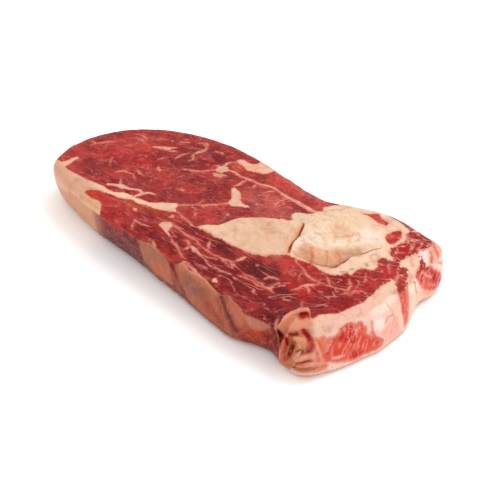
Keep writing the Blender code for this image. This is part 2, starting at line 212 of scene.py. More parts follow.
# Seams and veins of fat on the top face: width, then x, y of each point.
VEINS = {
    "seams": (
        (4.2, -82, -44.8, -75, -43.6, -69, -43, -64, -41.6, -60, -40.2, -56, -38.6, -52, -37.2, -48,
         -35.8, -43, -34),
        (2, -34, 22.4, -30, 22.6, -25, 23, -20, 23.3, -15, 24.1, -10, 24.9, -6, 26.4, -2, 28, 2, 28.4, 6,
         28.3),
        (2.1, 6, 28.3, 10, 28.2, 15, 28.5, 20, 28.8, 25, 29, 30, 29.4, 34, 30.6, 38, 33.4),
        (1.8, -32.5, 31, -34.6, 28.6, -35.4, 26, -35.2, 23.4, -34.5, 21),
        (1.7, -8, -1.4, -10, -4, -12.5, -7, -15, -10, -17.6, -12.6, -20, -14.6),
        (1.4, -20, -14.6, -22.5, -17, -25, -19.6, -27.4, -22.2),
        (1.1, -25, -27.6, -20, -27, -17, -27.2, -14, -28, -10, -28.7, -7, -28.7, -4.5, -28),
    ),
    "eye": (
        (2.3, -52.6, -37.4, -51.4, -34, -50.6, -31, -50.2, -28.6, -49, -26.6, -47, -25.1, -44.6, -24.5),
        (2.7, -50.4, -28.8, -54, -29, -58, -30.2, -61, -32, -65, -33.2, -67, -35, -69.4, -36.8, -71.4,
         -38.2),
        (1.2, -70, -28, -67.4, -31.2, -66, -33.2),
        (1.3, -78, -26, -76, -23, -73.6, -21.2, -70, -21, -66, -22, -62.6, -23.6),
        (1.5, -34.4, 18, -37, 15.8, -39.4, 12.6, -41, 9.6, -43, 7.6, -46, 6, -49, 4.4, -51.6, 2.4),
        (1.2, -41, 19.4, -38, 20.5, -35, 21.6),
        (1.6, -59.5, 29, -57.4, 30.4, -55.7, 28, -55.6, 24, -57, 20, -57.4, 18, -55.6, 15.7, -54, 14.8,
         -54.4, 11.6),
        (0.8, -63, 28, -60, 31, -57, 30.4),
        (0.9, -50, 30, -46, 30.5, -43.6, 30.2),
        (1.3, -37, -9.4, -35, -10.4, -37.6, -11.2, -39.6, -13),
        (1, -20, -8, -19.8, -11, -20.4, -13.6),
        (1.4, -45.8, -0.6, -46.5, -3),
        (0.9, -90, -18.5, -88, -20.6, -86, -22.6),
        (0.9, -70, -15.5, -66, -17, -62, -17),
        (2.4, -60.6, -7, -59.4, -7),
        (1.2, -64, -4, -62, -6, -63, -8.6),
        (1.4, -76.4, -3, -75.6, -3),
        (2.3, -81, 6, -76, 9, -72, 12, -69, 16),
        (1.2, -70, 10, -66, 14),
        (1.1, -68, 0, -67, 6),
        (1.3, -62, 8, -61, 14, -60, 17),
        (1.1, -72, 21, -69, 23, -67, 25),
        (1.2, -84, 14, -81, 17),
        (1.2, -76.4, 19, -75.6, 19),
        (1.2, -71.5, 26, -70.5, 26),
        (0.9, -98, 8, -94, 9.8, -90, 9.5, -87, 8),
        (0.8, -97, 3, -93, 6, -88, 6, -86, 4),
        (0.8, -90, 3, -89, 0),
        (0.8, -93, -4, -90, -1),
        (1.6, -107, -15, -104, -11.6, -102, -8, -100, -6),
        (1.2, -112, -16, -108, -15.5, -108, -19),
    ),
    "upper": (
        (1.7, -17, 23.6, -16.9, 19.6, -16.2, 17, -17.2, 14.6, -18, 13),
        (1.6, -9, 24.6, -8.7, 21.8, -8.2, 20),
        (0.9, 3, 26.4, 0.6, 24.4, -0.4, 21.6, -0.6, 20),
        (0.8, 2, 22, 4, 19.4, 5, 17),
        (1.3, 12, 27.6, 12, 23, 11.4, 19.4, 12.8, 16.8),
        (1.2, 17.6, 21.4, 19.6, 22.6, 21.6, 22.2),
        (1, -33, 29.6, -29.4, 28.6, -26, 28),
        (0.9, 3.4, 12, 4.4, 10),
        (0.9, -2, 12.6, -1.6, 10.6),
        (1, -21, -17.6, -18, -17.4, -15.4, -18.4),
        (1, -16, -20, -14, -21, -13, -22.6),
        (1, -5.4, -19.6, -4, -18.4),
        (1.6, -1.3, -6.4, -1.2, -8.4),
        (1.4, -18, -12.6, -15, -13.4),
    ),
    "near": (
        (1.4, -18, -36.2, -15, -36.8, -10, -37, -7, -36.7, -5, -37.7, -1, -36.4, 2, -36, 5, -37.4, 10,
         -38.5),
        (1.2, 10, -38.5, 15, -38.4, 20, -38.2, 24, -37.9, 27, -36.6, 30, -35.6, 32.6, -34),
        (0.9, 23, -38.3, 28, -38, 32, -38.6, 34, -38.4),
        (1.3, -2, -41, 0, -39.6, 1.5, -41, 4, -42),
        (2, 4, -42, 8, -42.8, 12, -43.4, 16, -44.1),
        (1.3, 16, -44.1, 20, -45, 23, -45.8, 27, -45.8, 30, -44.9, 34, -43.6, 38, -42.8),
        (1.4, 4, -42.4, 4, -45, 3.5, -46.6),
        (0.9, 14, -42.8, 18, -41.8, 22, -40.2, 23, -41.2),
        (1.1, 41, -40.9, 45, -40, 50, -39.3, 54, -39.8, 57, -37.7, 62, -37),
        (1.3, -37, -48.5, -34, -48.8, -30, -48.3, -27, -47.3, -24.5, -46.4),
        (1.2, -36, -49.2, -34, -50.5, -32, -53, -30, -54.9),
        (1, -11, -44.6, -8, -46, -6, -46.8, -2, -47.2, 1, -48, 4, -49.5, 7, -51, 10, -51.2),
        (1.1, -15, -53.4, -12, -55, -9, -56.6),
        (2, -23, -30.6, -21.6, -31.6, -22.4, -33.4),
        (1.6, 10.4, -53.4, 14, -52.6, 16, -54.4, 20, -54.6, 24, -55.6, 29, -56.2),
        (2.2, 33, -27.4, 33, -30, 32, -33),
        (1.6, 9, -32, 11, -34.6, 13, -37),
        (1.1, 42, -27, 43.4, -28),
        (1.6, 60, -28, 56.4, -28.6, 54.2, -31, 53.6, -34),
        (1.5, 62, -29, 60.6, -33, 61.4, -36, 58, -37.6, 56, -38.4),
        (1, 61, -36.5, 65, -38),
        (1.2, 70, -35.4, 72, -37.4, 74.6, -36.2, 75.4, -34.6),
        (1.2, 80, -31.6, 82, -34, 85.4, -35.4),
        (1.5, 80.4, -50.4, 82, -53, 83.4, -55.4),
    ),
    "tail": (
        (1.4, 53, -9.2, 57, -11, 60, -11.2, 64, -12.6, 67, -13.6, 71, -14.4, 76, -14.4, 78.4, -13.6),
        (1.2, 78.4, -13.6, 82, -12, 86, -10.4, 90, -8.6, 93, -8),
        (1, 93, -8, 92.6, -10.6, 91, -12.6),
        (0.9, 90, -3, 91, -6, 92.4, -8),
        (1.5, 78, -14.6, 76, -17, 74, -18.6, 72.6, -20.2, 74, -21.5, 77, -22, 78.6, -24),
        (1.4, 72.4, -20.5, 72, -24, 71, -27, 69.4, -29.6),
        (1, 64, -13.6, 65, -18, 67.4, -20.2),
        (0.9, 76, -8, 79, -9.4, 82, -11.4),
        (0.9, 86, 0, 88, -2.4, 90, -3),
        (0.9, 93, 0, 94.4, -5, 95.4, -10),
        (0.9, 84.4, 51.4, 86.4, 48.6, 88.6, 46, 90.4, 43),
        (1, 89, 50, 91.6, 46.4, 94, 42.4, 96, 38.6),
        (0.8, 93.6, 52, 95.4, 48, 96.6, 44),
        (0.8, 88, 37, 90, 34, 91.6, 31),
        (1, 92, 26, 95, 23, 98.4, 18.6),
        (0.9, 99, 24.4, 103, 20, 107, 15.8),
        (0.8, 89.6, 10, 92, 6, 94, 3),
    ),
}

# Where the lean is darker, brighter or browner than elsewhere: x, y, half lengths, colour, strength.
LEAN_ZONES = (
    (-73, -5, 10, 9, (186, 40, 42), 0.7),
    (-88, -15, 12, 9, (182, 42, 44), 0.6),
    (-65, -13, 10, 8, (180, 40, 42), 0.5),
    (-70, -35, 12, 5, (128, 30, 34), 0.8),
    (-58, -36, 8, 4, (122, 28, 34), 0.7),
    (-50, 22, 16, 11, (128, 36, 40), 0.9),
    (-52, 8, 10, 7, (152, 48, 44), 0.7),
    (-20, -4, 12, 9, (136, 40, 42), 0.6),
    (-25, 5, 12, 8, (150, 42, 46), 0.5),
    (-22, 28, 14, 4, (186, 62, 48), 0.9),
    (10, 35, 30, 7, (192, 70, 62), 1),
    (12, 39.5, 30, 3, (205, 104, 96), 0.6),
    (5, 15, 16, 10, (196, 94, 84), 0.9),
    (22, 16, 7, 9, (188, 94, 86), 0.8),
    (14, 6, 9, 3.5, (196, 94, 84), 0.8),
    (-10, -16, 14, 10, (176, 60, 58), 0.8),
    (1, -14, 5, 9, (138, 62, 60), 0.7),
    (12, -31, 26, 5, (98, 12, 24), 1),
    (48, -30, 16, 9, (96, 10, 22), 1),
    (70, -34, 10, 6, (100, 12, 22), 0.9),
    (78, -49, 12, 8, (92, 14, 20), 1),
    (30, -46, 46, 9, (120, 10, 14), 0.95),
    (-10, -49, 22, 7, (120, 14, 20), 0.8),
    (-55, -45, 16, 7, (172, 50, 42), 0.8),
    (-68, -50, 9, 3.5, (192, 56, 46), 0.9),
    (-40, -52, 16, 4, (130, 34, 38), 0.7),
    (-50, -40.5, 18, 2.4, (178, 80, 52), 0.9),
    (-33, -36, 12, 2.6, (170, 66, 40), 0.9),
    (62, -9, 12, 4, (186, 36, 42), 0.8),
    (50, -13, 7, 4, (206, 62, 54), 0.9),
    (44, -15, 5, 3, (192, 112, 98), 0.8),
    (74, -24, 12, 7, (176, 40, 40), 0.8),
    (90, -14, 14, 24, (156, 26, 32), 0.9),
    (97, 16, 10, 12, (190, 56, 54), 0.9),
    (91, 44, 10, 14, (184, 38, 40), 0.9),
    (62, 51, 9, 5, (200, 74, 58), 1),
    (80, 45, 6, 7, (198, 58, 50), 1),
    (74, 58, 14, 3, (176, 104, 96), 0.9),
    (112, 32, 14, 8, (198, 56, 52), 0.9),
    (84, 15, 3, 4, (150, 96, 78), 0.9),
)
# The same for the fat, with painted shade on the fold's cliff.
FAT_ZONES_AND_SHADE = (
    (25, -8, 26, 18, (231, 190, 160), 0.8),
    (60, 28, 30, 18, (246, 214, 184), 0.9),
    (48, 8, 5, 14, (249, 226, 206), 0.9),
    (70, 34, 9, 7, (250, 226, 208), 0.9),
    (55, 30, 9, 12, (244, 206, 168), 0.7),
    (30, 20, 5, 5, (226, 200, 178), 0.8),
    # this zone and the next two: orange on the fold's cliff, painted shade
    (62, 1, 13, 5, (226, 150, 112), 1),
    (69, 8, 6, 8, (224, 150, 110), 0.9),
    (72, 5, 4, 5, (206, 120, 84), 0.7),
    (78, 12, 5, 18, (244, 206, 176), 0.8),
    (68, -5, 14, 3, (240, 190, 168), 0.9),
    (74, 19, 4, 4, (222, 176, 128), 0.8),
    (-34, -29, 10, 7, (232, 192, 162), 0.9),
    (-8, 5, 10, 8, (224, 180, 154), 0.9),
    (-22, 36, 14, 8, (236, 182, 152), 0.9),
    (-33, 18, 5, 6, (216, 166, 140), 0.9),
    (-31, 14, 4, 3, (224, 164, 122), 0.9),
    (-19, -40, 9, 6, (230, 178, 156), 0.9),
    (-75, -43, 22, 3.5, (240, 200, 176), 0.9),
    (-95, -50, 34, 8, (226, 170, 142), 0.9),
    (-64, -55, 10, 4, (232, 180, 140), 0.9),
    (108, -20, 12, 26, (248, 196, 178), 1),
    (88, -44, 9, 12, (228, 166, 128), 1),
    (104, 50, 9, 14, (244, 180, 160), 0.9),
    (106, 32, 10, 10, (248, 206, 184), 0.9),
    (60, 58, 24, 5, (242, 212, 196), 0.9),
)
# Plain colours, as seen, under those zones and under the strokes below.
BASE = {
    "lean": (165, 57, 54),
    "fat": (240, 200, 170),
    "vein": (224, 150, 136),
    "far_lean": (150, 52, 50),
    "far_fat": (226, 176, 146),
    "near": (152, 84, 66),
    "tail": (246, 198, 180),
    "knob": (204, 126, 100),
    "under_lean": (150, 46, 46),
    "under_fat": (232, 190, 158),
}


def pairs(flat):
    """x, y, x, y, ... as rows of x and y."""
    return np.array(flat, float).reshape(-1, 2)


def colour(rgb):
    """A colour as seen on screen, from 0 to 255, as light."""
    value = np.array(rgb, float) / 255
    return np.where(value <= 0.04045, value / 12.92, ((value + 0.055) / 1.055) ** 2.4)


def spread(*columns):
    """Points for a random field, from one to three columns."""
    blank = np.zeros(len(columns[0]))
    return np.column_stack([*columns, *[blank] * (3 - len(columns))])


def smooth_step(value):
    """Eases from 0 to 1 as the value does."""
    held = np.clip(value, 0, 1)
    return held * held * (3 - 2 * held)


def path_distance(points, path, closed=False):
    """Distance to a path, the share of the way where it is nearest, and 1 on its left or -1."""
    corners = np.array(path, float)
    starts = corners if closed else corners[:-1]
    ends = np.roll(corners, -1, axis=0) if closed else corners[1:]
    best = np.full(len(points), np.inf)
    share, side = np.zeros(len(points)), np.ones(len(points))
    for k, (start, step) in enumerate(zip(starts, ends - starts)):
        away = points - start
        t = np.clip(away @ step / (step @ step), 0, 1)
        distance = np.linalg.norm(away - t[:, None] * step, axis=1)
        nearer = distance < best
        best[nearer] = distance[nearer]
        share[nearer] = (k + t[nearer]) / len(starts)
        side[nearer] = np.where(step[0] * away[nearer, 1] - step[1] * away[nearer, 0] >= 0, 1, -1)
    return best, share, side


def depth_inside(points, outline):
    """Distance to a closed outline: above 0 inside it, below 0 outside."""
    corners = np.array(outline, float)
    found = np.zeros(len(points), bool)
    for (x0, y0), (x1, y1) in zip(corners, np.roll(corners, -1, axis=0)):
        crosses = (y0 > points[:, 1]) != (y1 > points[:, 1])
        level = np.divide(points[:, 1] - y0, y1 - y0, out=np.zeros(len(points)), where=crosses)
        found ^= crosses & (points[:, 0] < x0 + level * (x1 - x0))
    edge = path_distance(points, corners, closed=True)[0]
    return np.where(found, edge, -edge)


def vein_depth(points, width, line, blunt=False):
    """How deep points lie inside a vein. It thins out towards its ends unless it is blunt."""
    away, share, _ = path_distance(points, pairs(line))
    least = 0.75 if blunt else 0.35
    taper = least + (1 - least) * np.sin(math.pi * share) ** 0.6
    return width / 2 * taper - away


def stroke_share(places, half, blur, line):
    """How much a soft stroke covers places: a line of this half width or, at 0, what it encloses."""
    depth = half - path_distance(places, pairs(line))[0] if half else depth_inside(places, pairs(line))
    return smooth_step(depth / blur + 0.5)


def rough(points, size, seed):
    """Smooth random field over points, about -1 to 1, with features of this size."""
    table = np.random.default_rng(seed).uniform(-1, 1, 4096)
    at = points / size
    cell = np.floor(at).astype(np.int64)
    part = at - cell
    part = part * part * (3 - 2 * part)
    total = np.zeros(len(points))
    for corner in range(8):
        offset = np.array([corner & 1, corner >> 1 & 1, corner >> 2])
        place = cell + offset
        key = (place[:, 0] * 73856093 ^ place[:, 1] * 19349663 ^ place[:, 2] * 83492791) & 4095
        total += table[key] * np.prod(np.where(offset == 1, part, 1 - part), axis=1)
    return total


def lobes(flat, size, seed):
    """Uneven round lobes: 0 on the creases between them, up to about 1 on their tops."""
    rng = np.random.default_rng(seed)
    table = rng.uniform(0.15, 0.85, (64, 64, 2))
    ones = np.ones(len(flat))
    warp = [rough(spread(*flat.T, k * ones), size * 1.4, seed + k) for k in (1, 2)]
    at = (flat + np.column_stack(warp) * size * 0.45) / size
    cell = np.floor(at).astype(int)
    first, second = np.full(len(flat), 9.0), np.full(len(flat), 9.0)
    for i in (-1, 0, 1):
        for j in (-1, 0, 1):
            here = cell + (i, j)
            middle = here + table[here[:, 0] % 64, here[:, 1] % 64]
            away = np.linalg.norm(at - middle, axis=1)
            second = np.where(away < first, first, np.minimum(second, away))
            first = np.minimum(first, away)
    return second - first


def relief(flat):
    """How far the top face stands above or below its plane, as in the solid, with sharper folds."""
    swell = SWELL * np.sin(flat[:, 0] / 34 + 1) * np.cos(flat[:, 1] / 34 * 1.7 + 0.4)
    within = depth_inside(flat, KERNEL)
    fat = KERNEL_STEP * smooth_step(within / 3 + 0.5)
    away, share, side = path_distance(flat, FOLD)
    ends = smooth_step(np.minimum(share, 1 - share) * 8)
    depth = FOLD_DEPTH * np.sin(math.pi * np.clip(share, 0.02, 0.98)) ** 0.6
    level = spread(*flat.T)
    dents = 1 + 0.22 * rough(spread(share * 40, away * 0.4), 2.4, 41)
    cliff = 1 - (1 - np.clip(away / (CLIFF_WIDTH * dents), 0, 1)) ** 1.7
    valley = -depth * (1 - np.where(side > 0, cliff, smooth_step(away / 1.5)))
    crack_away, along, beyond = path_distance(flat, CRACK)
    block = (side > 0) & (beyond > 0)
    rise = BLOCK_RISE * smooth_step((30 - away) / 22) * np.where(block, smooth_step(away / 5), 0)
    drop = -STRIP_DROP * smooth_step((9 - away) / 7) * np.where(side < 0, ends, 0)
    opening = np.sin(math.pi * np.clip(along, 0.03, 0.97)) ** 0.5
    groove = -CRACK_DEPTH * opening * (1 - smooth_step(crack_away / (CRACK_HALF * opening + 0.1)))
    pillows = smooth_step(lobes(flat, 9.5, 21) / 0.5) - 0.7
    lumps = 0.6 * pillows * (1 + 0.8 * rough(level, 12, 23))
    lumps += 0.3 * rough(level, 4.2, 24) + 0.3 * rough(level, 9, 25)
    lumps *= smooth_step(within / 4)
    return swell + fat + valley * ends + rise * smooth_step(within / 5) + drop + groove + lumps


def remeshed(source, voxel):
    """An even mesh of the solid's own form."""
    piece = bpy.data.objects.new("steak", source.data.copy())
    bpy.context.scene.collection.objects.link(piece)
    change = piece.modifiers.new("remesh", "REMESH")
    change.mode = "VOXEL"
    change.voxel_size = voxel * MM
    graph = bpy.context.evaluated_depsgraph_get()
    mesh = bpy.data.meshes.new_from_object(piece.evaluated_get(graph))
    bpy.data.objects.remove(piece)
    return mesh


def kept(mesh, chosen):
    """Drops the faces that aren't chosen."""
    trimmed = bmesh.new()
    trimmed.from_mesh(mesh)
    trimmed.faces.ensure_lookup_table()
    dropped = [trimmed.faces[k] for k in np.flatnonzero(~chosen)]
    bmesh.ops.delete(trimmed, geom=dropped, context="FACES")
    trimmed.to_mesh(mesh)
    trimmed.free()


def refined(mesh):
    """Halves the cells round the crack and the fold."""
    finer = bmesh.new()
    finer.from_mesh(mesh)
    spots = np.array([v.co for v in finer.verts]) / MM
    near = (depth_inside(spots[:, :2], FINE_ZONE) > 0) & (spots[:, 2] > TOP_FROM - 1)
    edges = [e for e in finer.edges if near[e.verts[0].index] and near[e.verts[1].index]]
    bmesh.ops.subdivide_edges(finer, edges=edges, cuts=1, use_grid_fill=True)
    finer.to_mesh(mesh)
    finer.free()


def read(mesh, what, field, width, kind):
    """A whole column of mesh data as an array."""
    values = np.empty(len(what) * width, kind)
    what.foreach_get(field, values)
    return values.reshape(-1, width) if width > 1 else values


def relaxed(points, edges, share, rounds):
    """Moves each point towards its neighbours' middle by its share, some rounds long."""
    count = np.bincount(edges.ravel(), minlength=len(points))[:, None]
    for _ in range(rounds):
        total = np.zeros_like(points)
        for axis in range(3):
            total[:, axis] += np.bincount(edges[:, 0], points[edges[:, 1], axis], len(points))
            total[:, axis] += np.bincount(edges[:, 1], points[edges[:, 0], axis], len(points))
        points = points + (total / count - points) * share[:, None]
    return points


def normals_of(mesh, points):
    """Vertex normals after the points have moved."""
    mesh.vertices.foreach_set("co", (points * MM).ravel())
    mesh.update()
    return read(mesh, mesh.vertex_normals, "vector", 3, np.float32).astype(float)


def rim_lines(steps=40):
    """The outline as a fine closed line, and the length along it from its first point."""
    corners = np.array(OUTLINE)
    count = len(corners)
    at = np.linspace(0, count, count * steps, endpoint=False)
    first = np.floor(at).astype(int)
    t = (at - first)[:, None]
    p0, p1, p2, p3 = (corners[(first + k) % count] for k in (-1, 0, 1, 2))
    line = p1 + 0.5 * t * (p2 - p0 + t * (2 * p0 - 5 * p1 + 4 * p2 - p3 + t * (3 * (p1 - p2) + p3 - p0)))
    steps = np.linalg.norm(np.roll(line, -1, axis=0) - line, axis=1)
    return line, np.concatenate([[0], np.cumsum(steps)])


def around(points, line, along):
    """Length along the rim to the place nearest each point, and how far inside it the point lies."""
    _, share, _ = path_distance(points, line, closed=True)
    return np.interp(share * len(line), np.arange(len(line) + 1), along), depth_inside(points, line)


def shaped(mesh, share, rounds):
    """Smooths a remeshed solid and puts its top face on the true relief."""
    points = read(mesh, mesh.vertices, "co", 3, np.float32).astype(float) / MM
    edges = read(mesh, mesh.edges, "vertices", 2, np.int32)
    knob = depth_inside(points[:, :2], KNOB)
    crack = path_distance(points[:, :2], CRACK)[0]
    points = relaxed(points, edges, share(knob), rounds)
    normals = normals_of(mesh, points)
    line, _ = rim_lines(8)
    inner = depth_inside(points[:, :2], line)
    flat = smooth_step((inner - 4.5) / 5) * (points[:, 2] > TOP_FROM) * (normals[:, 2] > 0.1)
    flat = np.maximum(flat, (crack < 4) & (points[:, 2] > TOP_FROM))
    flat = np.maximum(flat, (depth_inside(points[:, :2], FINE_ZONE) > 1) & (points[:, 2] > TOP_FROM - 1))
    flat = flat * (1 - smooth_step((knob + 6) / 4))
    goal = THICKNESS + relief(points[:, :2])
    points[:, 2] += flat * (goal - points[:, 2])
    normals_of(mesh, points)


def on_knob(points):
    """Places across and up the plane that the knob faces."""
    x, y, z = (points - KNOB_MIDDLE).T
    across, back = (x + y) * math.sqrt(0.5), (y - x) * math.sqrt(0.5)
    return np.column_stack([across, 0.643 * back + 0.766 * z])


def fold_skin(mesh):
    """Raises the knob's rolls of skin and sinks the hollows between them."""
    points = read(mesh, mesh.vertices, "co", 3, np.float32).astype(float) / MM
    normals = normals_of(mesh, points)
    place = on_knob(points)
    rise, sink = np.zeros(len(points)), np.zeros(len(points))
    for height, half, *line in KNOB_FOLDS:
        away = path_distance(place, pairs(line))[0] / half
        if height > 0:
            rise = np.maximum(rise, height * np.sqrt(np.clip(1 - away ** 2, 0, 1)))
        else:
            sink = np.minimum(sink, height * (1 - smooth_step(away / 1.5)))
    facing = smooth_step((normals @ KNOB_FACING - 0.05) / 0.4)
    within = smooth_step((depth_inside(points[:, :2], KNOB_ZONE) - 0.5) / 2.5)
    points += KNOB_FACING * (facing * within * (rise + sink))[:, None]
    # the knob curves in towards its foot
    tuck = 2.4 * within * smooth_step((9 - points[:, 2]) / 9) * math.sqrt(0.5)
    points += np.column_stack([-tuck, tuck, tuck * 0])
    normals_of(mesh, points)


def whole():
    """The steak's mesh: even cells, finer ones at the folds, and the knob's own fine mesh."""
    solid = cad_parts["ribeye_steak"]
    mesh = remeshed(solid, VOXEL)
    refined(mesh)
    shaped(mesh, lambda knob: 0.6 * (1 - 0.75 * smooth_step((knob + 5) / 4)), 9)
    knob = remeshed(solid, FINE_VOXEL)
    places = [read(part, part.polygons, "center", 3, np.float32)[:, :2] / MM for part in (mesh, knob)]
    kept(knob, depth_inside(places[1].astype(float), KNOB_ZONE) > -0.5)
    kept(mesh, depth_inside(places[0].astype(float), KNOB_ZONE) < 0.2)
    shaped(knob, lambda knob: 0.5 + 0 * knob, 5)
    fold_skin(knob)
    joined = bmesh.new()
    joined.from_mesh(mesh)
    joined.from_mesh(knob)
    joined.to_mesh(mesh)
    joined.free()
    return mesh


def top_fat(flat):
    """Depth inside the fat that shows on the cut face, and how wide the fat is there."""
    level = spread(*flat.T)
    bent = flat + 0.7 * np.column_stack([rough(level, 4.5, seed) for seed in (51, 52)])
    swollen = 1 + 0.4 * rough(level, 5, 53)
    depth = np.full(len(flat), -9.0)
    wide = np.zeros(len(flat))
    for outline in FAT_PATCHES.values():
        inside = depth_inside(bent, pairs(outline))
        nearer = inside > depth
        depth[nearer] = inside[nearer]
        wide[nearer] = 1
    for outline in RED_PATCHES.values():
        depth = np.minimum(depth, -depth_inside(bent, pairs(outline)))
    for name, group in VEINS.items():
        for width, *line in group:
            reach = vein_depth(bent, max(width, 1.05) * swollen, line, name == "seams")
            nearer = reach > depth
            depth[nearer] = reach[nearer]
            wide[nearer] = min(1, max(0, (width - 1.2) / 2.4))
    return depth, wide


def zoned(flat, base, zones):
    """A colour for each point, from a base and soft round zones laid over it in turn."""
    result = np.tile(colour(base), (len(flat), 1))
    for x, y, half_x, half_y, tint, strength in zones:
        away = np.hypot((flat[:, 0] - x) / half_x, (flat[:, 1] - y) / half_y)
        share = strength * (1 - smooth_step((away - 0.45) / 0.85))
        result += (colour(tint) - result) * share[:, None]
    return result


# Fat on the near side by x and height, then lean on the tail end by y and height.
NEAR_FAT = (
    (-130, -3, -64, -3, -61, 2, -61.6, 6, -58, 9, -59.4, 13, -56, 16, -56.6, 20, -59.4, 22, -63, 24, -68,
     40, -130, 40),
    (-22.5, 24.7, -16.5, 27, -9.6, 27, -1.8, 26, 3, 21, 5.5, 14, 4, 9, -1, 8, -4, 10, -10, 8, -14, 11, -19,
     11, -21, 17),
    (7, 26, 12, 29, 60, 29, 64, 24, 72, 26, 78, 23, 76, 18, 66, 15, 60, 8, 58, -3, 18, -3, 17, 8, 10, 19),
)
TAIL_FAR = (
    29.5, 28, 33, 31, 37, 30, 41, 27, 44, 22.5, 47, 19, 51, 14, 53, 9.5, 50, 6, 45, 6, 41, 9, 37.5, 11,
    34.5, 13, 32.5, 17, 30.5, 22,
)
TAIL_LEAN = (
    (-43, 14, -38, 21, -35, 20, -31, 20.5, -30, 23.7, -26, 24, -22, 23, -20, 21, -16.5, 22, -15, 18, -17,
     15.5, -14.5, 13.3, -12, 15.6, -11, 10.5, -7, 7, -9.6, 4.2, -16.5, 4.2, -23, 4, -29, 4.8, -37, 7, -42,
     10),
    (13, 27, 21, 27, 20.6, 20, 19, 14, 16.5, 8, 14, 5, 11.5, 5, 12, 10, 13, 16, 13.4, 20.5),
    TAIL_FAR,
)
# Strokes of colour on the sides and the knob, among them painted shade in creases, hollows and along the
# foot, painted highlights on the knob's rolls and a painted sheen on the near side: half width (0 for an
# area), blur, colour, strength, then the line or outline, by x and height, by y and height, or across and up
# the knob's plane.
NEAR_STROKES_AND_SHADE = (
    (0, 5, (212, 152, 122), 1, -140, -5, -61, -5, -58, 8, -57, 16, -60, 24, -66, 40, -140, 40),
    (3, 5, (232, 186, 158), 0.7, -116, 20, -104, 20, -92, 22),
    (3, 6, (210, 144, 106), 0.6, -108, 11, -96, 9, -70, 9),
    (3, 6, (150, 106, 88), 0.9, -60, 24, -58, 12, -61, 0),
    (0, 7, (98, 50, 54), 1, -55, 30, -22, 30, -21, 14, -17, -3, -62, -3, -56, 8),
    # lighter pinkish band on the dark purple lean: a painted sheen
    (2, 5, (136, 72, 72), 0.8, -44, 18, -34, 17, -26, 12),
    (2, 4, (112, 74, 66), 0.6, -55, 22, -53, 12),
    # painted shade along the foot of the near side, under the dark band
    (0, 5, (74, 42, 40), 0.6, -60, 5, -20, 6, -14, -5, -60, -5),
    # painted shade low on the near side, under the pale fat
    (0, 4, (124, 76, 60), 1, -20, 10, -8, 9, 5, 11, 15, 11, 20, -3, -24, -3),
    (0, 1.8, (166, 106, 84), 1, -22.5, 24.7, -16.5, 28, -9.6, 28, -1.8, 27, 3, 21, 5.5, 14, 4, 9, -1, 8, -4,
     10, -10, 8.6, -14, 11, -19, 11, -21, 17),
    (0, 3, (196, 104, 80), 0.8, -14, 16, -4, 18, 2, 18, 4, 13, -1, 9, -10, 8.5),
    (0.5, 1, (152, 102, 82), 0.7, -4, 23, -1, 18, 0, 14),
    (0, 3, (176, 102, 80), 1, 8, 29, 45, 29, 46, 20, 54, 12, 57, 4, 58, -5, 20, -5, 17, 8, 10, 19),
    # dark maroon line: painted shade in the near side's first crease
    (1.7, 2.2, (108, 38, 36), 1, 3.4, 26, 5.5, 21.5, 8.2, 19, 11.5, 15.5, 15.8, 9.7, 20, 2),
    (1.6, 2.2, (204, 126, 96), 0.8, 12, 25, 11, 26.4, 19, 25.4, 31, 25.8, 42, 25.2, 50, 26),
    (4, 6, (142, 86, 74), 0.8, 20, 20, 30, 18),
    (4, 6, (158, 74, 56), 0.9, 36, 14, 48, 9),
    (1, 2, (150, 100, 98), 0.8, 17, 25, 20, 20, 24, 14),
    (0.8, 1.6, (160, 62, 46), 0.8, 42, 22, 48, 15),
    # painted shade along the foot of the near side, under the silver skin
    (0, 5, (122, 72, 58), 0.7, 18, 6, 60, 5, 62, -5, 18, -5),
    (0, 3, (190, 106, 84), 1, 46, 25, 48, 29, 62, 29, 62, 23, 64, 15, 61, 10, 57, 14, 53, 18.5, 48, 22),
    # painted shade along the near side's second crease
    (2.8, 4, (146, 80, 68), 0.9, 45, 26, 50.5, 19.5, 56, 14, 60.5, 9, 65, 1),
    # the darkest core of that crease, painted shade
    (0.9, 2.2, (100, 42, 42), 0.9, 45, 25, 50, 19.5, 55, 14.6, 59.5, 9.6, 64, 1),
    (0, 4, (160, 66, 50), 1, 60, 13, 66, 16, 75, 16, 80, 12, 80, -5, 62, -5),
    (0, 3, (186, 116, 98), 1, 61.6, 23.6, 66.5, 25.5, 72, 25.5, 77, 24, 78.6, 21.5, 74.2, 17.4, 70.2,
     15.7, 65.3, 17.3),
    (1.4, 2.4, (184, 70, 44), 0.8, 66, 14.5, 76, 14.5),
    (0, 4, (140, 34, 28), 1, 74, 17, 79, 21, 88, 18, 88, 2, 77, 6),
    # near-black red line: painted shade in the crevice beside the knob
    (1.4, 2.4, (96, 20, 18), 0.9, 80, 25, 84, 18, 85, 12),
    # painted shade along the foot of the near side, beside the knob
    (0, 4, (108, 56, 46), 0.8, 60, 7, 86, 7, 86, -5, 60, -5),
)
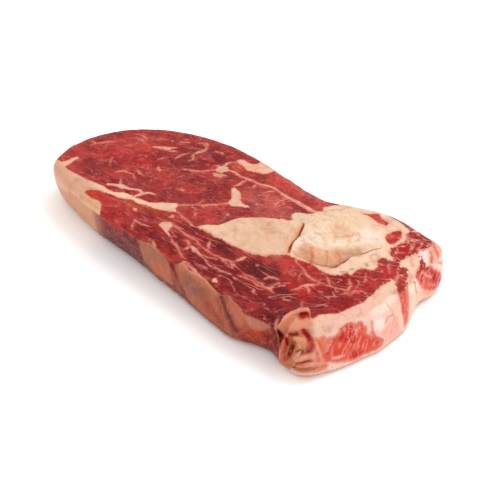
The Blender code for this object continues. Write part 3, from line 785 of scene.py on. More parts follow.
TAIL_STROKES = (
    (0, 5, (250, 212, 192), 0.9, -50, 30, 12, 30, 12, 21, -14, 21, -31, 24, -41, 24, -46, 26),
    (0, 5, (255, 234, 216), 0.9, -18, 31, 12, 31, 12, 23, 2, 20, -8, 22, -18, 25),
    (0.5, 1.8, (236, 158, 140), 0.7, -36, 26, -26, 26.4, -20, 25),
    (0.5, 1.8, (232, 150, 130), 0.6, 3, 24, 5, 18, 4, 10),
    (0, 3, (228, 122, 90), 0.9, -47, 23, -40, 23, -37, 20, -41, 15, -47, 13),
    (0, 4, (230, 140, 114), 0.9, -52, 12, -43, 14, -41, 9, -44, 4, -52, 4),
    (0.5, 1.6, (208, 76, 58), 0.6, -46.4, 19, -45.4, 15, -45.8, 11),
    (0.5, 1.6, (204, 70, 54), 0.6, -43.4, 21, -42.6, 16, -43, 13, -42, 10),
    (0.4, 1.4, (244, 180, 156), 0.6, -45, 21, -44.4, 17, -44.6, 13),
    (0, 2.8, (222, 82, 68), 1, -43, 14, -37, 20.6, -31, 20.6, -30, 23.7, -26, 24, -22, 23, -20, 21, -16.5,
     22, -15, 18, -16, 15, -13, 14, -11, 10, -7, 7, -9, 4, -16.5, 4, -23, 4, -29, 4.8, -37, 7, -43, 10),
    (2.4, 3, (198, 46, 42), 0.8, -31, 19, -25, 16, -24, 21),
    (1.5, 2, (240, 90, 62), 0.9, -18.5, 21, -17.5, 17),
    (0.7, 1.4, (240, 138, 118), 0.8, -21.6, 23, -21.6, 16),
    (1, 2, (228, 88, 60), 0.8, -42, 12, -37, 8.6),
    (0.7, 1, (246, 178, 164), 0.9, -38, 10, -33, 9),
    (1.6, 2.4, (188, 42, 38), 0.8, -27, 7, -22, 6.6),
    (0, 4, (240, 172, 158), 0.8, -9, 13, 8, 14, 8, 3, -6, 3),
    (0, 3.6, (252, 226, 222), 1, -10, 20, -2.6, 19, -2, 14, -7, 12.6, -10.4, 14.6),
    (0.6, 1.6, (204, 84, 76), 0.8, -10.9, 19, -11.9, 14.4, -11.1, 10.5, -7, 7.3),
    (0.5, 1, (222, 136, 118), 0.8, -3, 14.6, 1, 16.6, 4, 16),
    (0, 3, (226, 92, 74), 1, 13, 28, 21, 28, 20.6, 20, 19, 14, 16.5, 8, 14, 5, 11.5, 5, 12, 10, 13, 16, 13.4,
     20.5),
    (0.6, 1, (196, 46, 40), 0.8, 14, 24, 14, 18, 13, 12),
    (0, 3, (252, 228, 210), 0.9, 22, 28, 34, 28, 32, 20, 26, 15, 22, 18),
    (0.5, 1, (198, 88, 76), 0.9, 27.4, 23, 27.8, 17, 28.6, 14.4),
    (1.4, 3, (234, 136, 100), 0.6, 36, 10, 42, 6),
    (0, 2.4, (200, 58, 52), 1, *TAIL_FAR),
    (0.7, 1.6, (242, 176, 160), 0.8, 35, 25, 38, 20, 42, 17),
    (0.6, 1.4, (244, 190, 176), 0.8, 41, 12, 45, 9.6),
    (0.8, 1.6, (168, 26, 26), 0.8, 39, 24, 42, 20, 47, 15),
    (1.4, 2, (234, 86, 62), 0.8, 36, 15, 42, 11),
    (0.4, 0.8, (150, 20, 20), 0.9, 44, 15.6, 51, 9),
    (1.2, 1.4, (192, 84, 76), 0.8, 32, 21, 34, 25, 38, 28),
    (0, 3, (248, 214, 204), 1, 42, 28, 50, 28, 57, 22, 56, 15, 51, 17, 46, 21.5),
    (0.8, 1.6, (228, 112, 92), 0.8, 46, 26, 50, 22, 54, 19),
    (0, 3, (238, 144, 128), 0.8, 44, 5, 50, 6, 54, 9, 57, 4, 48, -2),
)
KNOB_STROKES_SHADE_HIGHLIGHTS = (
    (0, 2.6, (218, 146, 120), 1, 1.5, 12.4, 2.3, 14.4, 6, 18, 8, 17, 10.3, 16.4, 14, 17, 20, 16.6, 20, 11,
     14, 11, 10, 12.8, 4, 11.6),
    (0, 1.6, (210, 128, 98), 1, -4, 12.8, -0.3, 17.2, 2, 19.2, 5, 21.2, 8.8, 22, 7.4, 19.5, 6, 18, 4.3,
     16, 2.3, 14.2, 1.2, 12.4, 0.9, 10.4, -0.3, 9.4, -2.2, 10.8),
    # pale line along the top of the lip's roll: painted highlight
    (0.5, 1.4, (226, 154, 128), 0.8, -3.4, 12.6, -0.4, 16.8, 2, 18.7, 5, 20.7, 8.8, 22, 13.2, 22.2),
    (0.9, 2, (192, 110, 82), 0.8, 0, 11.4, 1.6, 14, 4.6, 17),
    # dark line under the lip's roll: painted shade
    (0.4, 1.3, (158, 80, 58), 0.9, -3.4, 12, -1.8, 10.6, -0.2, 9.3, 1.2, 10.4, 2, 12.6),
    (0, 1.5, (166, 46, 38), 1, 7.5, 18.6, 8.4, 20.2, 11, 20.8, 12.8, 20.4, 15, 19.8, 16, 18.2, 13.4, 17.2,
     12, 17.8, 10, 16.8, 8.2, 17.3),
    (0.5, 1.2, (128, 24, 22), 0.8, 9, 19.8, 12, 20),
    # near-black crevice at the knob's left: painted shade
    (0, 1.6, (76, 14, 10), 1, -4.4, 12.2, -2.2, 10.6, -0.4, 9.3, 0.3, 7.4, -0.7, 6.4, -2.6, 7, -3.8, 9,
     -4.4, 11),
    # the crevice running on down: painted shade
    (1, 2, (140, 34, 28), 1, -1.4, 6.4, -2.5, 2),
    (0, 1.7, (188, 86, 68), 1, 1.5, 10.5, 3, 8.5, 2.6, 5.5, 1.3, 2.5, 0.8, -2, 1.4, -5.4, -0.3, -7, -2.6,
     -6.3, -2.9, -3.3, -2.2, 0, -1.3, 3, -0.4, 6.5, 0.6, 8.8),
    # lighter line down the column's left rim: painted highlight
    (0.5, 1.2, (224, 128, 106), 0.9, -0.2, 6, -1.4, 2.5, -2.2, -1, -2.5, -4),
    (0.8, 1.4, (146, 32, 20), 1, 1.1, 7, 1.5, 4.7, 1.7, 3.4),
    (0.9, 1.6, (202, 108, 86), 0.8, -1.4, -2.2, -1.1, -4.6, 0.2, -6.6),
    # small pale dot on the column: painted highlight
    (0.35, 0.9, (232, 150, 136), 0.8, 1.7, 9.4, 1.9, 8.2),
    # small pale dot on the column: painted highlight
    (0.4, 0.9, (240, 166, 150), 0.8, 3.1, 8.6, 3.3, 7.4),
    # dark brown-red in the hollow under the lip: painted shade
    (1.2, 2, (142, 56, 38), 1, 3.6, 9, 4.8, 8.4, 6.6, 9.4),
    (1.1, 1.8, (182, 98, 68), 1, 3.8, 7, 3.7, 3.6, 2.8, -2.6, 2.2, -4.6),
    # dark brown in the hollow beside the column: painted shade
    (1, 1.8, (136, 46, 26), 1, 4.4, 2.2, 3.5, 0, 2.7, -1.8),
    (0.7, 1.6, (170, 74, 56), 0.8, 2.1, -2.8, 1.5, -4.2),
    (1.3, 1.5, (222, 148, 114), 1, *TONGUE),
    (1.3, 1.6, (226, 156, 120), 1, 7.2, 4.8, 8, 3.4, 9, 1.8),
    # painted shade between the tongue and its lighter inside
    (0.5, 1.3, (176, 98, 68), 0.7, 5.6, 4.8, 6.2, 2.4),
    (0, 2.2, (184, 56, 40), 1, 9, 10.6, 10.3, 11.8, 12.4, 10.8, 13.6, 9, 15.2, 7, 17, 4.8, 17, 2, 15.8, 0,
     13, -0.8, 11.6, -0.6, 11.6, 1.6, 12.2, 3.6, 11.8, 6.2, 10.4, 8.2, 9, 9.4),
    (0.9, 1.6, (150, 30, 18), 1, 10, 10.6, 11.6, 9.4, 12.8, 7.6),
    (0.9, 1.8, (172, 38, 32), 0.8, 13.8, 6, 14.8, 3.4, 14.4, 1),
    (0.6, 1.3, (214, 116, 88), 0.6, 12.8, 4.6, 13, 1.4),
    # thin dark line in a hollow: painted shade
    (0.35, 1.1, (122, 48, 34), 0.9, 6.2, -0.1, 8.5, 1.1),
    # thin dark line in a hollow: painted shade
    (0.35, 1.1, (122, 46, 34), 0.9, 8.8, -1.2, 10.6, 1.2),
    (0.8, 1.2, (224, 164, 136), 1, 8.5, -0.4, 7, -1.7, 5.3, -3.7),
    (0, 2, (226, 146, 122), 1, 5.2, -4.4, 7.5, -3.2, 10, -2, 12.6, -1.3, 14.6, -1.8, 15.4, -3.2, 14.4,
     -4.5, 10.6, -5.2, 7.4, -6, 5.6, -6),
    # lighter line along the pink roll: painted highlight
    (0.6, 1.6, (240, 178, 158), 0.8, 6.4, -4.8, 9.4, -3.8, 13.2, -2.4),
    # dark line below the pink roll: painted shade in its crease
    (0.4, 1.2, (140, 56, 40), 0.9, *CREASE),
    (1.3, 1.8, (232, 148, 120), 1, 8, -7.7, 10.6, -7.9, 13.6, -7.5, 15.4, -7.3),
    # brown in the hollow above the lower roll: painted shade
    (0.6, 1.6, (194, 100, 76), 0.8, 7.2, -7.2, 9.8, -7.4),
    # pale spot at the lower roll's end: painted highlight
    (0.5, 1.3, (250, 184, 158), 0.8, 14.8, -6.5, 15.4, -8),
    (0, 1.9, (202, 120, 90), 1, -2.4, -6.6, 1.2, -5.4, 3.6, -4.6, 5, -6.4, 5.4, -8.4, 3.8, -10.2, 0.5,
     -9.4),
    # lighter line on the rim of the lower left lobe: painted highlight
    (0.4, 1.1, (232, 164, 134), 0.9, 5.6, -6.8, 5, -8.6, 3.6, -10),
    # dark line in the hollow right of the lower left lobe: painted shade
    (0.35, 1.2, (150, 70, 52), 0.8, 6.1, -7, 5.6, -8.8, 4.6, -10.6),
    (1.7, 2, (244, 184, 162), 1, 5, -11, 8, -12.4, 12, -12.6, 16, -11.4, 22, -9.8),
)

# The same on the top fat, by x and y: creases and lumps of the kernel, a few brown spots, painted shade on
# the fold's cliff and in the crack, and a painted orange glow beside the crack.
FAT_STROKES_AND_SHADE = (
    (4, 7, (250, 226, 200), 0.7, 46.6, 4.2, 53.1, 8.1, 58.9, 12.6, 64.8, 18.5, 68, 24),
    (0.7, 1.8, (226, 166, 116), 0.5, 19, -0.2, 21.2, -3.1, 23.9, -4.3),
    (0.8, 1.8, (226, 168, 120), 0.5, 21.9, -8.7, 26.6, -10.3, 28.3, -13.6),
    (0.8, 2, (220, 158, 108), 0.5, 26.5, -5.4, 29.8, -7.1, 33.7, -9.4),
    (0.8, 2, (226, 166, 120), 0.5, 24.7, -23.4, 24.8, -19.6, 24.5, -16.1),
    (0.5, 1.6, (224, 164, 112), 0.8, 48.4, 34.3, 51.4, 33.5, 53, 30),
    (0.7, 1.8, (228, 174, 122), 0.8, 64.2, 31.1, 67.4, 29.3, 69.2, 24.8),
    (0.7, 2, (232, 178, 132), 0.8, 45.9, 15.2, 51.1, 15.4, 56.9, 12.5),
    (0.7, 2, (230, 176, 128), 0.8, 51.5, 23.3, 56.7, 21, 60.7, 15),
    (0.7, 2, (228, 172, 124), 0.8, 59.1, 25.9, 64.2, 23.6, 68, 18.6),
    (0.6, 2.2, (196, 130, 98), 0.6, 86.9, 22.8, 85.2, 25.2, 82.8, 24.9, 81.7, 22.8, 82.9, 20.6, 85.5,
     20.4, 86.9, 22.8),
    (0.8, 1.6, (150, 104, 80), 0.8, 85.2, 14.4, 84.6, 15.2),
    (0, 2.4, (255, 238, 228), 0.9, 98, 45.5, 101, 48.5, 104.5, 45, 108, 41.5, 105, 38, 102, 39.5),
    (1, 1.8, (220, 100, 88), 0.8, 99, 56, 102, 53, 106, 51.5),
    (0.8, 1.6, (222, 104, 92), 0.8, 94, 53.5, 96.4, 51, 98, 48),
    (0.7, 1.4, (210, 80, 72), 0.8, 103, 49, 105.4, 47, 107, 44),
    (0.6, 1.3, (226, 116, 102), 0.7, 99, 37, 101, 34, 104, 32.6),
    (0.6, 1.4, (150, 110, 84), 0.8, 82.3, 6.8, 81.7, 5.6),
    (0.6, 1.6, (146, 112, 92), 0.7, 81.4, 2.2, 79, 0.4),
    (0.4, 1.4, (176, 132, 104), 0.6, 31.8, 31.1, 35.5, 33, 38.7, 36.3, 41.9, 40.5),
    # the fold's cliff face, orange-tan as painted shade
    (0, 3, (240, 186, 150), 0.9, 47, -8, 50, -3.6, 54, 1, 59, 5.6, 64.4, 9.4, 69, 12, 72.6, 14.6, 74.2,
     15, 74.6, 8, 73.4, 1.8, 69.8, -1.8, 64.4, -3.5, 57.5, -4.8, 51.5, -6.4),
    # orange creases down the cliff, here and in the next two rows: painted shade
    (0.8, 1.6, (224, 136, 92), 0.9, 55.1, 2.1, 59.1, -1.2, 61.8, -5.8),
    (0.5, 1.4, (214, 142, 98), 0.8, 61.8, 6.4, 66.1, 3.4, 69.8, -1.4),
    (0.5, 1.4, (224, 140, 96), 0.7, 67.1, 10.5, 70.7, 9.1, 73.6, 6.3),
    # painted shade at the foot of the cliff
    (1, 2.4, (206, 146, 104), 0.9, 60, -4, 64.4, -3.3, 69.8, -1.6, 72.6, 1.6),
    # dark brown line at the foot of the fold: painted shade
    (0.9, 1.4, (140, 66, 36), 1, 71.6, 0.4, 73, 1.8, 73.9, 8, 73.4, 13),
    # thin brown line on along the fold: painted shade
    (0.4, 0.9, (170, 104, 66), 0.9, 73.6, 8, 73.2, 15, 75.6, 20.4, 81, 30.4),
    # lighter orange beside the crack's left wall: a painted glow of light scattered in the fat
    (1, 1.6, (236, 172, 118), 0.8, 35.3, 16, 38.3, 10.5, 40.8, 4.4, 43.2, -2.4, 46.8, -9),
    # the crack itself: brown, painted shade
    (0.7, 0.6, (170, 84, 36), 1, *np.ravel(CRACK)),
)


def laid(places, base, strokes, where):
    """Colours with soft strokes laid over a base, at the places where they are wanted."""
    tint = base.copy()
    chosen = np.flatnonzero(where > 0)
    spots, some = places[chosen], tint[chosen]
    for half, blur, stroke, strength, *line in strokes:
        share = strength * stroke_share(spots, half, blur, line)
        some += (colour(stroke) - some) * share[:, None]
    tint[chosen] = some
    return tint


def under_fat(flat):
    """Depth inside the fat on the lower cut face: the same muscles, with veins of their own."""
    depth = np.full(len(flat), -9.0)
    bent = flat + 2.5 * np.column_stack([rough(spread(*flat.T), 17, seed) for seed in (5, 6)])
    for name in ("kernel", "wedge", "tooth", "far_blob", "cap", "tail", "tail_far"):
        depth = np.maximum(depth, depth_inside(bent, pairs(FAT_PATCHES[name])))
    for width, *line in VEINS["seams"] + VEINS["eye"][:9] + VEINS["near"][:6] + VEINS["tail"][:6]:
        depth = np.maximum(depth, vein_depth(bent, width, line))
    return depth


def blended(first, second, share):
    """Mixes two fields or two sets of colours."""
    if first.ndim > 1:
        share = share[:, None]
    return first + (second - first) * share


# How low the cut face's lean hangs on the near side: x, height.
LEAN_HEM = (
    (-130, 23.5), (-56, 22.5), (-47, 21.5), (-30, 22.5), (-23, 24.7), (-16, 26.3), (-2, 25.2), (3, 23),
    (7, 24.6), (11, 26.4), (20, 25.9), (31, 26.4), (44, 25.7), (50, 26.9), (60, 26), (63, 23.4),
    (70, 24.2), (78, 22.6), (84, 21.5),
)
# Where the lean has more thin veins: x, y, half lengths, grey for how many, strength.
MARBLED = (
    (35, -38, 62, 13, (216,), 1),
    (84, -10, 24, 46, (190,), 0.9),
    (98, 40, 18, 30, (250,), 1),
    (10, 20, 30, 12, (190,), 0.8),
)
BASE_MARBLED = (125,)
# Where lean and fat are mixed, at the far corner of the tail: x, y, half lengths.
MIXED = ((97, 40, 12, 20), (106, 30, 12, 18), (105, 50, 9, 10))
# How brightly each part is lit, and how much light its wet film adds.
LIT = {"top": 1.4, "near": 1.18, "tail": 1.12, "knob": 1.3, "far": 1.3}
GLOSS = 0.015


def dress(points, normals):
    """Fat depth, fat width, softness, mottling, fibres and colours for each point."""
    flat, z = points[:, :2], points[:, 2]
    x, y = flat.T
    line, along = rim_lines(8)
    s, inner = around(flat, line, along)
    none, ones = np.zeros(len(z)), np.ones(len(z))
    # shares of the knob, the near side and the tail end
    on_plane = on_knob(points)
    knob = smooth_step(depth_inside(on_plane, KNOB_FACE) / 1.4 + 0.5)
    knob *= smooth_step((normals @ KNOB_FACING + 0.1) / 0.3)
    knob *= smooth_step((depth_inside(flat, KNOB_ZONE) + 2) / 1.5)
    knob *= smooth_step((17.5 - on_plane[:, 0]) / 5)
    near = smooth_step((NEAR_Y - y) / 4) * smooth_step((NEAR_END - x) / 3)
    tail = smooth_step((x - TAIL_X) / 5) * smooth_step((TAIL_END - y) / 4)
    # shares of the upper and the lower cut face: the upper one's lean hangs a little over the side
    waves = rough(spread(s), 6, 3)
    hem = blended(FAR_HEM + 1.4 * waves, np.interp(x, *np.transpose(LEAN_HEM)) + 0.5 * waves, near)
    inwards = np.clip(inner - 3, 0, 8) * 4 * smooth_step((z - 18) / 3)
    upper = smooth_step((np.minimum(z - hem, 30) + inwards) / 1.6 + 0.5)
    lower = smooth_step((2.2 - z) / 1.4) * smooth_step((-normals[:, 2] - 0.3) / 0.4)
    # how deep each point lies in fat: on the cut faces, round the sides, and on the knob
    top, wide, under = -9 * ones, none.copy(), -9 * ones
    cut, base = upper > 0, lower > 0
    top[cut], wide[cut] = top_fat(flat[cut])
    under[base] = under_fat(flat[base])
    bent = 0.8 * rough(points, 5, 61) + 0.5 * rough(points, 1.8, 62)
    by_x, by_y = np.column_stack([x + bent, z]), np.column_stack([y + bent, z + bent * 0.6])
    side = 3.4 * rough(spread(s, z * 1.6), 13, 31) - 0.2 + 0.05 * (z - 8)
    here = near > 0.5
    side[here] = np.max([depth_inside(by_x[here], pairs(area)) for area in NEAR_FAT], axis=0)
    here = tail > 0.5
    side[here] = np.min([-depth_inside(by_y[here], pairs(area)) for area in TAIL_LEAN], axis=0)
    fat = blended(blended(side, top, upper), under, lower)
    fat = np.maximum(fat, 6 * knob - 2.4)
    width = blended(blended(ones, wide, upper), 0.7 * ones, lower)
    # colours as they are seen, from the sides to the top and the underside
    plain = {name: np.tile(colour(rgb), (len(z), 1)) for name, rgb in BASE.items()}
    flank = blended(plain["far_fat"], laid(by_x, plain["near"], NEAR_STROKES_AND_SHADE, near), near)
    flank = blended(flank, laid(by_y, plain["tail"], TAIL_STROKES, tail), tail)
    lean_tint = blended(plain["far_lean"], flank, np.maximum(near, tail))
    lean_tint = blended(lean_tint, zoned(flat, BASE["lean"], LEAN_ZONES), upper)
    lean_tint = blended(lean_tint, plain["under_lean"], lower)
    topping, shown = zoned(flat, BASE["fat"], FAT_ZONES_AND_SHADE), np.maximum(upper, inner > 20)
    topping = laid(flat + bent[:, None] * 0.6, topping, FAT_STROKES_AND_SHADE, shown)
    fat_tint = blended(flank, topping, np.maximum(upper, (inner > 20) & (lower == 0)))
    fat_tint = blended(fat_tint, plain["under_fat"], lower)
    fat_tint = blended(plain["vein"], fat_tint, np.clip(width + 0.25, 0, 1))
    knob_tint = laid(on_plane + 0.5 * bent[:, None], plain["knob"], KNOB_STROKES_SHADE_HIGHLIGHTS, knob)
    fat_tint = blended(fat_tint, knob_tint, knob)
    # the light that falls on each part is taken out of its colours again
    lit = blended(blended(LIT["far"] * ones, LIT["near"] * ones, near), LIT["tail"] * ones, tail)
    lit = blended(lit, LIT["top"] * ones, smooth_step((normals[:, 2] - 0.1) / 0.7))
    lit = blended(lit, LIT["knob"] * ones, knob)[:, None]
    tints = {"lean_tint": lean_tint, "fat_tint": fat_tint}
    tints = {name: np.maximum(tint - GLOSS, 0.004) / lit for name, tint in tints.items()}
    # how the material treats each point
    soft = blended(0.9 * ones, 0.1 + 0.08 * (1 - wide), upper) * (1 - lower) + 0.2 * lower
    mottled = none
    for middle_x, middle_y, half_x, half_y in MIXED:
        away = np.hypot((x - middle_x) / half_x, (y - middle_y) / half_y)
        mottled = np.maximum(mottled, 0.65 * (1 - smooth_step((away - 0.6) / 0.6)) * upper)
    # fibres run aslant in the eye, along the near band, and across near the tail
    grain = smooth_step((-16 - y) / 10) * (1 + smooth_step((x - 40) / 40))
    fibrous = np.maximum(0.7 * tail, 0.26 * near) * (1 - upper) * (1 - lower) * (1 - knob)
    marbled = zoned(flat, BASE_MARBLED, MARBLED)[:, 0]
    marbled *= (1 - 0.8 * near * (1 - upper)) * (1 - 0.3 * lower)
    marbled = np.maximum(marbled, 0.9 * tail * (1 - upper))
    fields = {"fat": fat, "width": width, "soft": soft, "mottle": mottled}
    return fields | {"grain": grain, "fibrous": fibrous, "marbled": marbled}, tints


def detail(points, normals, fat):
    """Small relief along the normal: lean lies a little lower, with bundles, and fat is lumpy."""
    lean = 1 - smooth_step(fat / 0.8 + 0.5)
    bundles = 0.14 * rough(points, 2.6, 11) + 0.16 * rough(points, 7, 12)
    lumps = 0.10 * rough(points, 4.5, 13) + 0.14 * rough(points, 11, 14)
    upright = 1 - np.abs(normals[:, 2])
    sag = 0.45 * upright * rough(points * (1, 1, 0.35), 9, 15)
    offset = lean * (bundles - 0.22) + (1 - lean) * lumps + sag
    offset *= smooth_step(points[:, 2] / 1.5)
    return points + normals * offset[:, None]


def shade(*rgb):
    """A colour as seen on screen, for a socket."""
    return (*colour(rgb), 1)


class Graph:
    """Short ways to add nodes to a material."""

    def __init__(self, name):
        self.material = bpy.data.materials.new(name)
        self.material.use_nodes = True
        self.tree = self.material.node_tree
        self.shader = self.tree.nodes["Principled BSDF"]

    def put(self, node, sockets):
        """Sets inputs of a node, each to a value or to another node's output."""
        for key, value in sockets.items():
            if isinstance(value, bpy.types.NodeSocket):
                self.tree.links.new(value, node.inputs[key])
            else:
                node.inputs[key].default_value = value

    def add(self, kind, sockets, **settings):
        node = self.tree.nodes.new(kind)
        for key, value in settings.items():
            setattr(node, key, value)
        self.put(node, sockets)
        return node

    def math(self, operation, first, second, clamp=False):
        node = self.add("ShaderNodeMath", {0: first, 1: second}, operation=operation, use_clamp=clamp)
        return node.outputs[0]

    def plus(self, first, second):
        return self.math("ADD", first, second)

    def times(self, product, *others):
        for value in others:
            product = self.math("MULTIPLY", product, value)
        return product

    def rest(self, value, whole=1.0):
        """What a value leaves of a whole, at least 0."""
        return self.math("SUBTRACT", whole, value, True)

    def step(self, value, low, high, out_low=0.0, out_high=1.0):
        sockets = {"Value": value, "From Min": low, "From Max": high, "To Min": out_low, "To Max": out_high}
        return self.add("ShaderNodeMapRange", sockets, interpolation_type="SMOOTHSTEP").outputs["Result"]

    def mix(self, share, first, second, blend="MIX"):
        sockets = {"Factor": share, 6: first, 7: second}
        return self.add("ShaderNodeMix", sockets, data_type="RGBA", blend_type=blend).outputs[2]

    def blend(self, share, first, second):
        return self.add("ShaderNodeMix", {0: share, 2: first, 3: second}, data_type="FLOAT").outputs[0]

    def noise(self, place, scale, detail=2.0, roughness=0.5):
        sockets = {"Vector": place, "Scale": scale, "Detail": detail, "Roughness": roughness}
        return self.add("ShaderNodeTexNoise", sockets).outputs["Fac"]

    def fibres(self, place, degrees, length, scale, detail=3.0, upright=False):
        """Noise that is stretched along a direction in plan or, upright, up a side."""
        stretch = (1.0, 1.0, length) if upright else (length, 1.0, 1.0)
        turn = (math.radians(degrees), 0.0, 0.0) if upright else (0.0, 0.0, math.radians(degrees))
        sockets = {"Vector": place, "Scale": stretch, "Rotation": turn}
        turned = self.add("ShaderNodeMapping", sockets, vector_type="TEXTURE").outputs[0]
        return self.noise(turned, scale, detail, 0.6)

    def by_muscle(self, place, grain, eye, band, end):
        """Fibres that run one way in the eye, another in the near band and another near the tail."""
        eye, band, end = (self.fibres(place, *run) for run in (eye, band, end))
        near = self.blend(self.step(grain, 0.0, 1.0), eye, band)
        return self.blend(self.step(grain, 1.0, 2.0), near, end)

    def attribute(self, name, output="Fac"):
        return self.add("ShaderNodeAttribute", {}, attribute_name=name).outputs[output]


# Layers over the lean's own colour: noise, where it sets in, where it is full, strength, colour, and
# whether marbled lean, a deeper red between its veins, has less of it.
LEAN_LAYERS = (
    ("clump", 0.5, 0.32, 0.42, (84, 10, 16), False),
    ("clump", 0.5, 0.68, 0.46, (190, 58, 50), True),
    ("drift", 0.5, 0.36, 0.5, (100, 18, 26), False),
    ("drift", 0.5, 0.64, 0.3, (198, 60, 54), True),
    ("fleck", 0.5, 0.34, 0.24, (90, 12, 16), False),
    ("fleck", 0.54, 0.72, 0.26, (210, 110, 98), True),
    ("fibre", 0.48, 0.3, 0.38, (80, 8, 14), False),
)
# How far the fibres on the sides lean, in degrees.
SIDE_LEAN = -32


def lean_look(g, place, f):
    """The lean's colour: its own, those layers, pink fibres and thin winding veins."""
    bright = g.times(f["calm"], g.rest(f["marbled"], 1.15))
    noises = {"fibre": f["fibre"], "clump": g.noise(place, 150, 4.0, 0.62)}
    noises |= {"drift": g.noise(place, 62, 3.0, 0.55), "fleck": g.noise(place, 1150, 2.0, 0.6)}
    lean = g.attribute("lean_tint", "Color")
    for name, start, full, strength, tint, less in LEAN_LAYERS:
        share = g.step(noises[name], start, full, 0.0, strength)
        lean = g.mix(g.times(bright if less else f["calm"], share), lean, shade(*tint))
    patchy = g.step(g.noise(place, 75), 0.42, 0.58, 0.25, 1.0)
    pink = g.times(bright, g.step(f["fibre"], 0.53, 0.72, 0.0, 0.42), patchy)
    lean = g.mix(pink, lean, shade(196, 106, 95))
    vein = g.by_muscle(place, f["grain"], (30, 2.6, 150, 2.0), (5, 5.0, 200, 1.5), (48, 4.4, 200, 1.5))
    side_vein = g.fibres(place, SIDE_LEAN, 3.4, 330, upright=True)
    vein = g.blend(g.step(f["fibrous"], 0.2, 0.5), vein, side_vein)
    ridge = g.math("ABSOLUTE", g.math("SUBTRACT", vein, 0.5), 0.0)
    some = g.step(g.noise(place, 110), 0.37, 0.56)
    thin = g.times(g.step(ridge, 0.0, 0.033, 1.0, 0.0), some, f["marbled"])
    lean = g.mix(thin, lean, shade(218, 136, 124))
    threads = g.times(f["fibrous"], g.step(f["upright"], 0.48, 0.7, 0.0, 0.7))
    lean = g.mix(threads, lean, shade(232, 156, 138))
    return g.mix(g.step(f["edge"], -1.6, 0.1, 0.0, 0.34), lean, shade(176, 70, 60))


def fat_look(g, place, f):
    """The fat's colour: its own, clouds, faint membranes, a pinker edge, and threads on the tail."""
    cloud = g.noise(place, 95, 5.0, 0.65)
    bend = g.add("ShaderNodeTexNoise", {"Vector": place, "Scale": 120}).outputs["Color"]
    bend = g.add("ShaderNodeVectorMath", {0: bend, "Scale": 0.009}, operation="SCALE").outputs[0]
    warped = g.add("ShaderNodeVectorMath", {0: place, 1: bend}, operation="ADD").outputs[0]
    lobes = g.add("ShaderNodeTexVoronoi", {"Vector": warped, "Scale": 130}, feature="DISTANCE_TO_EDGE")
    torn = g.step(g.noise(place, 170), 0.46, 0.62)
    membrane = g.times(g.step(lobes.outputs["Distance"], 0.0, 0.09, 0.45, 0.0), torn)
    membrane = g.times(membrane, g.rest(g.times(f["fibrous"], 1.3)))
    fat = g.attribute("fat_tint", "Color")
    for share, tint, blend in (
        (g.times(f["calm"], g.step(cloud, 0.5, 0.72, 0.0, 0.6)), (218, 168, 146), "MULTIPLY"),
        (g.times(f["calm"], g.step(cloud, 0.48, 0.3, 0.0, 0.5)), (222, 212, 204), "SOFT_LIGHT"),
        (membrane, (190, 118, 84), "MIX"),
        (g.step(f["edge"], 1.5, 0.1, 0.0, 0.4), (200, 108, 92), "MIX"),
        (g.times(f["fibrous"], g.step(f["upright"], 0.5, 0.7, 0.0, 0.4)), (224, 184, 168), "MIX"),
        (g.times(f["fibrous"], g.step(f["upright"], 0.46, 0.3, 0.0, 0.3)), (180, 76, 62), "MIX"),
    ):
        fat = g.mix(share, fat, shade(*tint), blend)
    return fat


def beef():
    """Lean and fat in one material, told apart by the mesh's fat depth. Scales are per metre."""
    g = Graph("raw_beef_look")
    place = g.add("ShaderNodeTexCoord", {}).outputs["Object"]
    names = ("fat", "width", "soft", "mottle", "grain", "fibrous", "marbled")
    f = {name: g.attribute(name) for name in names}
    # the edge of the fat wanders, and more so where lean and fat are mixed
    wander = g.math("SUBTRACT", g.noise(place, 620, 4.0, 0.65), 0.5)
    reach = g.plus(g.times(f["mottle"], 9.0), g.plus(g.times(f["soft"], 2.4), g.plus(f["width"], 1.1)))
    f["edge"] = g.plus(f["fat"], g.times(wander, reach))
    half = g.plus(g.times(f["soft"], 1.3), 0.22)
    fat = g.step(f["edge"], g.times(half, -1.0), half)
    # thin veins come and go
    faint = g.times(g.rest(f["width"]), g.step(g.noise(place, 260), 0.62, 0.38, 0.12, 0.75), 0.8)
    fat = g.times(fat, g.rest(faint))
    # muscle fibres, in bundles that run one way in each muscle
    f["calm"] = g.step(f["soft"], 0.4, 0.85, 1.0, 0.35)
    f["upright"] = g.fibres(place, SIDE_LEAN, 4.5, 620, upright=True)
    fibre = g.by_muscle(place, f["grain"], (30, 2.4, 720), (6, 3.0, 720), (68, 2.6, 720))
    f["fibre"] = g.blend(f["fibrous"], fibre, f["upright"])
    # a wet film, and grain that stands up a little
    wet = g.noise(place, 300, 4.0, 0.65)
    gloss = g.blend(fat, g.step(wet, 0.35, 0.65, 0.14, 0.45), g.step(wet, 0.3, 0.7, 0.25, 0.5))
    height = g.plus(g.plus(g.times(f["fibre"], 0.8), g.times(wet, 0.5)), g.times(fat, 0.3))
    bump = g.add("ShaderNodeBump", {"Strength": 0.6, "Distance": 0.001, "Height": height})
    g.put(g.shader, {
        "Base Color": g.mix(fat, lean_look(g, place, f), fat_look(g, place, f)),
        "Roughness": gloss,
        "Normal": bump.outputs[0],
        "Subsurface Weight": 0.1,
        "Subsurface Radius": (1.0, 0.35, 0.25),
        "Subsurface Scale": 0.0015,
        "Specular IOR Level": 0.07,
    })
    return g.material


# Cells across the square that the UV map fills: a scale of 3.5 / SHEET gives each mm 3.5 cells.
SHEET = 1024


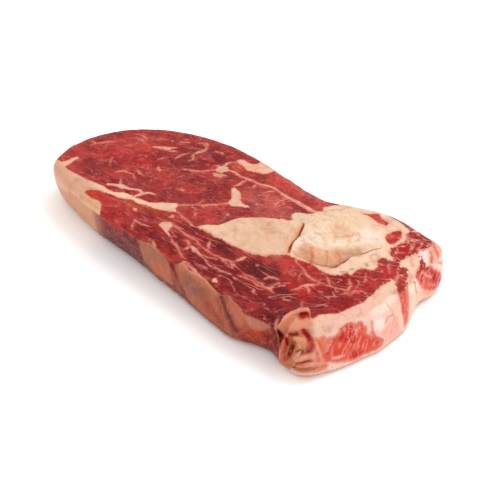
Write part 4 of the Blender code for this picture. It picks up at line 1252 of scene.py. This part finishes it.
def unwrap(mesh, points):
    """Lays the top, the underside and two strips of side out on one square, as the UV map OFBake."""
    corner_vert = read(mesh, mesh.loops, "vertex_index", 1, np.int32)
    starts = read(mesh, mesh.polygons, "loop_start", 1, np.int32)
    counts = read(mesh, mesh.polygons, "loop_total", 1, np.int32)
    face_normal = read(mesh, mesh.polygons, "normal", 3, np.float32)
    middle = read(mesh, mesh.polygons, "center", 3, np.float32) / MM
    order = np.argsort(starts)
    of_corner = np.repeat(order, counts[order])
    line, along = rim_lines(8)
    total, half = along[-1], along[-1] / 2
    s_vert, _ = around(points[:, :2], line, along)
    s_face, face_inner = around(middle[:, :2].astype(float), line, along)
    place = points[corner_vert]
    up = face_normal[of_corner, 2]
    top = (up > 0.4) | ((up > 0) & (face_inner[of_corner] >= 14))
    under = (up < -0.55) & (middle[of_corner, 2] < 6)
    # the sides first, in two strips, each corner on the same lap of the rim as its face
    s_here = s_vert[corner_vert]
    s_here -= np.round((s_here - s_face[of_corner]) / total) * total
    second = s_face[of_corner] > half
    u = (s_here - np.where(second, half, 0.0) + 4) * (1020 / (half + 8)) / SHEET
    v = 0.765 + np.where(second, 0.115, 0.0) + place[:, 2] * 3.3 / SHEET
    for chosen, wide, high, row in ((top, 3.5, 3.5, 0.0), (under, 2.5, 2.4, 0.445)):
        u[chosen] = (place[chosen, 0] + 121) * wide / SHEET
        v[chosen] = (place[chosen, 1] + 63.5) * high / SHEET + row
    layer = mesh.uv_layers.new(name="OFBake")
    uv = np.clip(np.column_stack([u, v]), 0, 1)
    layer.data.foreach_set("uv", uv.ravel().astype(np.float32))


def steak():
    """The piece that stands for the solid."""
    mesh = whole()
    piece = bpy.data.objects.new("steak", mesh)
    bpy.context.scene.collection.objects.link(piece)
    points = read(mesh, mesh.vertices, "co", 3, np.float32).astype(float) / MM
    normals = normals_of(mesh, points)
    fields, tints = dress(points, normals)
    points = detail(points, normals, fields["fat"])
    points[:, 2] = np.maximum(points[:, 2], 0)
    normals_of(mesh, points)
    for name, values in fields.items():
        mesh.attributes.new(name, "FLOAT", "POINT").data.foreach_set("value", values.astype(np.float32))
    for name, values in tints.items():
        rows = np.column_stack([values, np.ones(len(values))]).astype(np.float32)
        mesh.attributes.new(name, "FLOAT_COLOR", "POINT").data.foreach_set("color", rows.ravel())
    unwrap(mesh, points)
    mesh.materials.clear()
    mesh.materials.append(beef())
    mesh.shade_smooth()
    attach(piece, "root")
    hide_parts("ribeye_steak")
    return piece


def table():
    """A plain pale floor."""
    bpy.ops.mesh.primitive_plane_add(size=12, location=(0, 0, -0.0002))
    floor = bpy.context.object
    floor.name = "floor"
    g = Graph("pale_floor")
    g.put(g.shader, {"Base Color": FLOOR, "Roughness": 0.8})
    floor.data.materials.append(g.material)


def light():
    """One soft square lamp from the far right, over a bright even room."""
    data = bpy.data.lights.new("key", "AREA")
    data.size = LAMP_SIZE
    data.energy = LAMP_POWER
    made = bpy.data.objects.new("key", data)
    made.location = LAMP_PLACE
    made.rotation_euler = (-Vector(LAMP_PLACE)).to_track_quat("-Z", "Y").to_euler()
    bpy.context.scene.collection.objects.link(made)
    world = bpy.data.worlds.new("room")
    bpy.context.scene.world = world
    world.use_nodes = True
    world.node_tree.nodes["Background"].inputs["Color"].default_value = (1, 1, 1, 1)
    world.node_tree.nodes["Background"].inputs["Strength"].default_value = ROOM_LIGHT
    bpy.context.scene.view_settings.view_transform = "Standard"


def camera():
    """Over the near right corner."""
    data = bpy.data.cameras.new("camera")
    data.lens = LENS
    data.sensor_width = 36
    made = bpy.data.objects.new("camera", data)
    level, plan = math.radians(LEVEL), math.radians(PLAN)
    away = Vector((math.cos(plan) * math.cos(level), math.sin(plan) * math.cos(level), math.sin(level)))
    made.location = (Vector(TARGET) + away * DISTANCE) * MM
    made.rotation_euler = (-away).to_track_quat("-Z", "Y").to_euler()
    bpy.context.scene.collection.objects.link(made)
    bpy.context.scene.camera = made


camera()
light()
table()
steak()
bpy.context.view_layer.update()
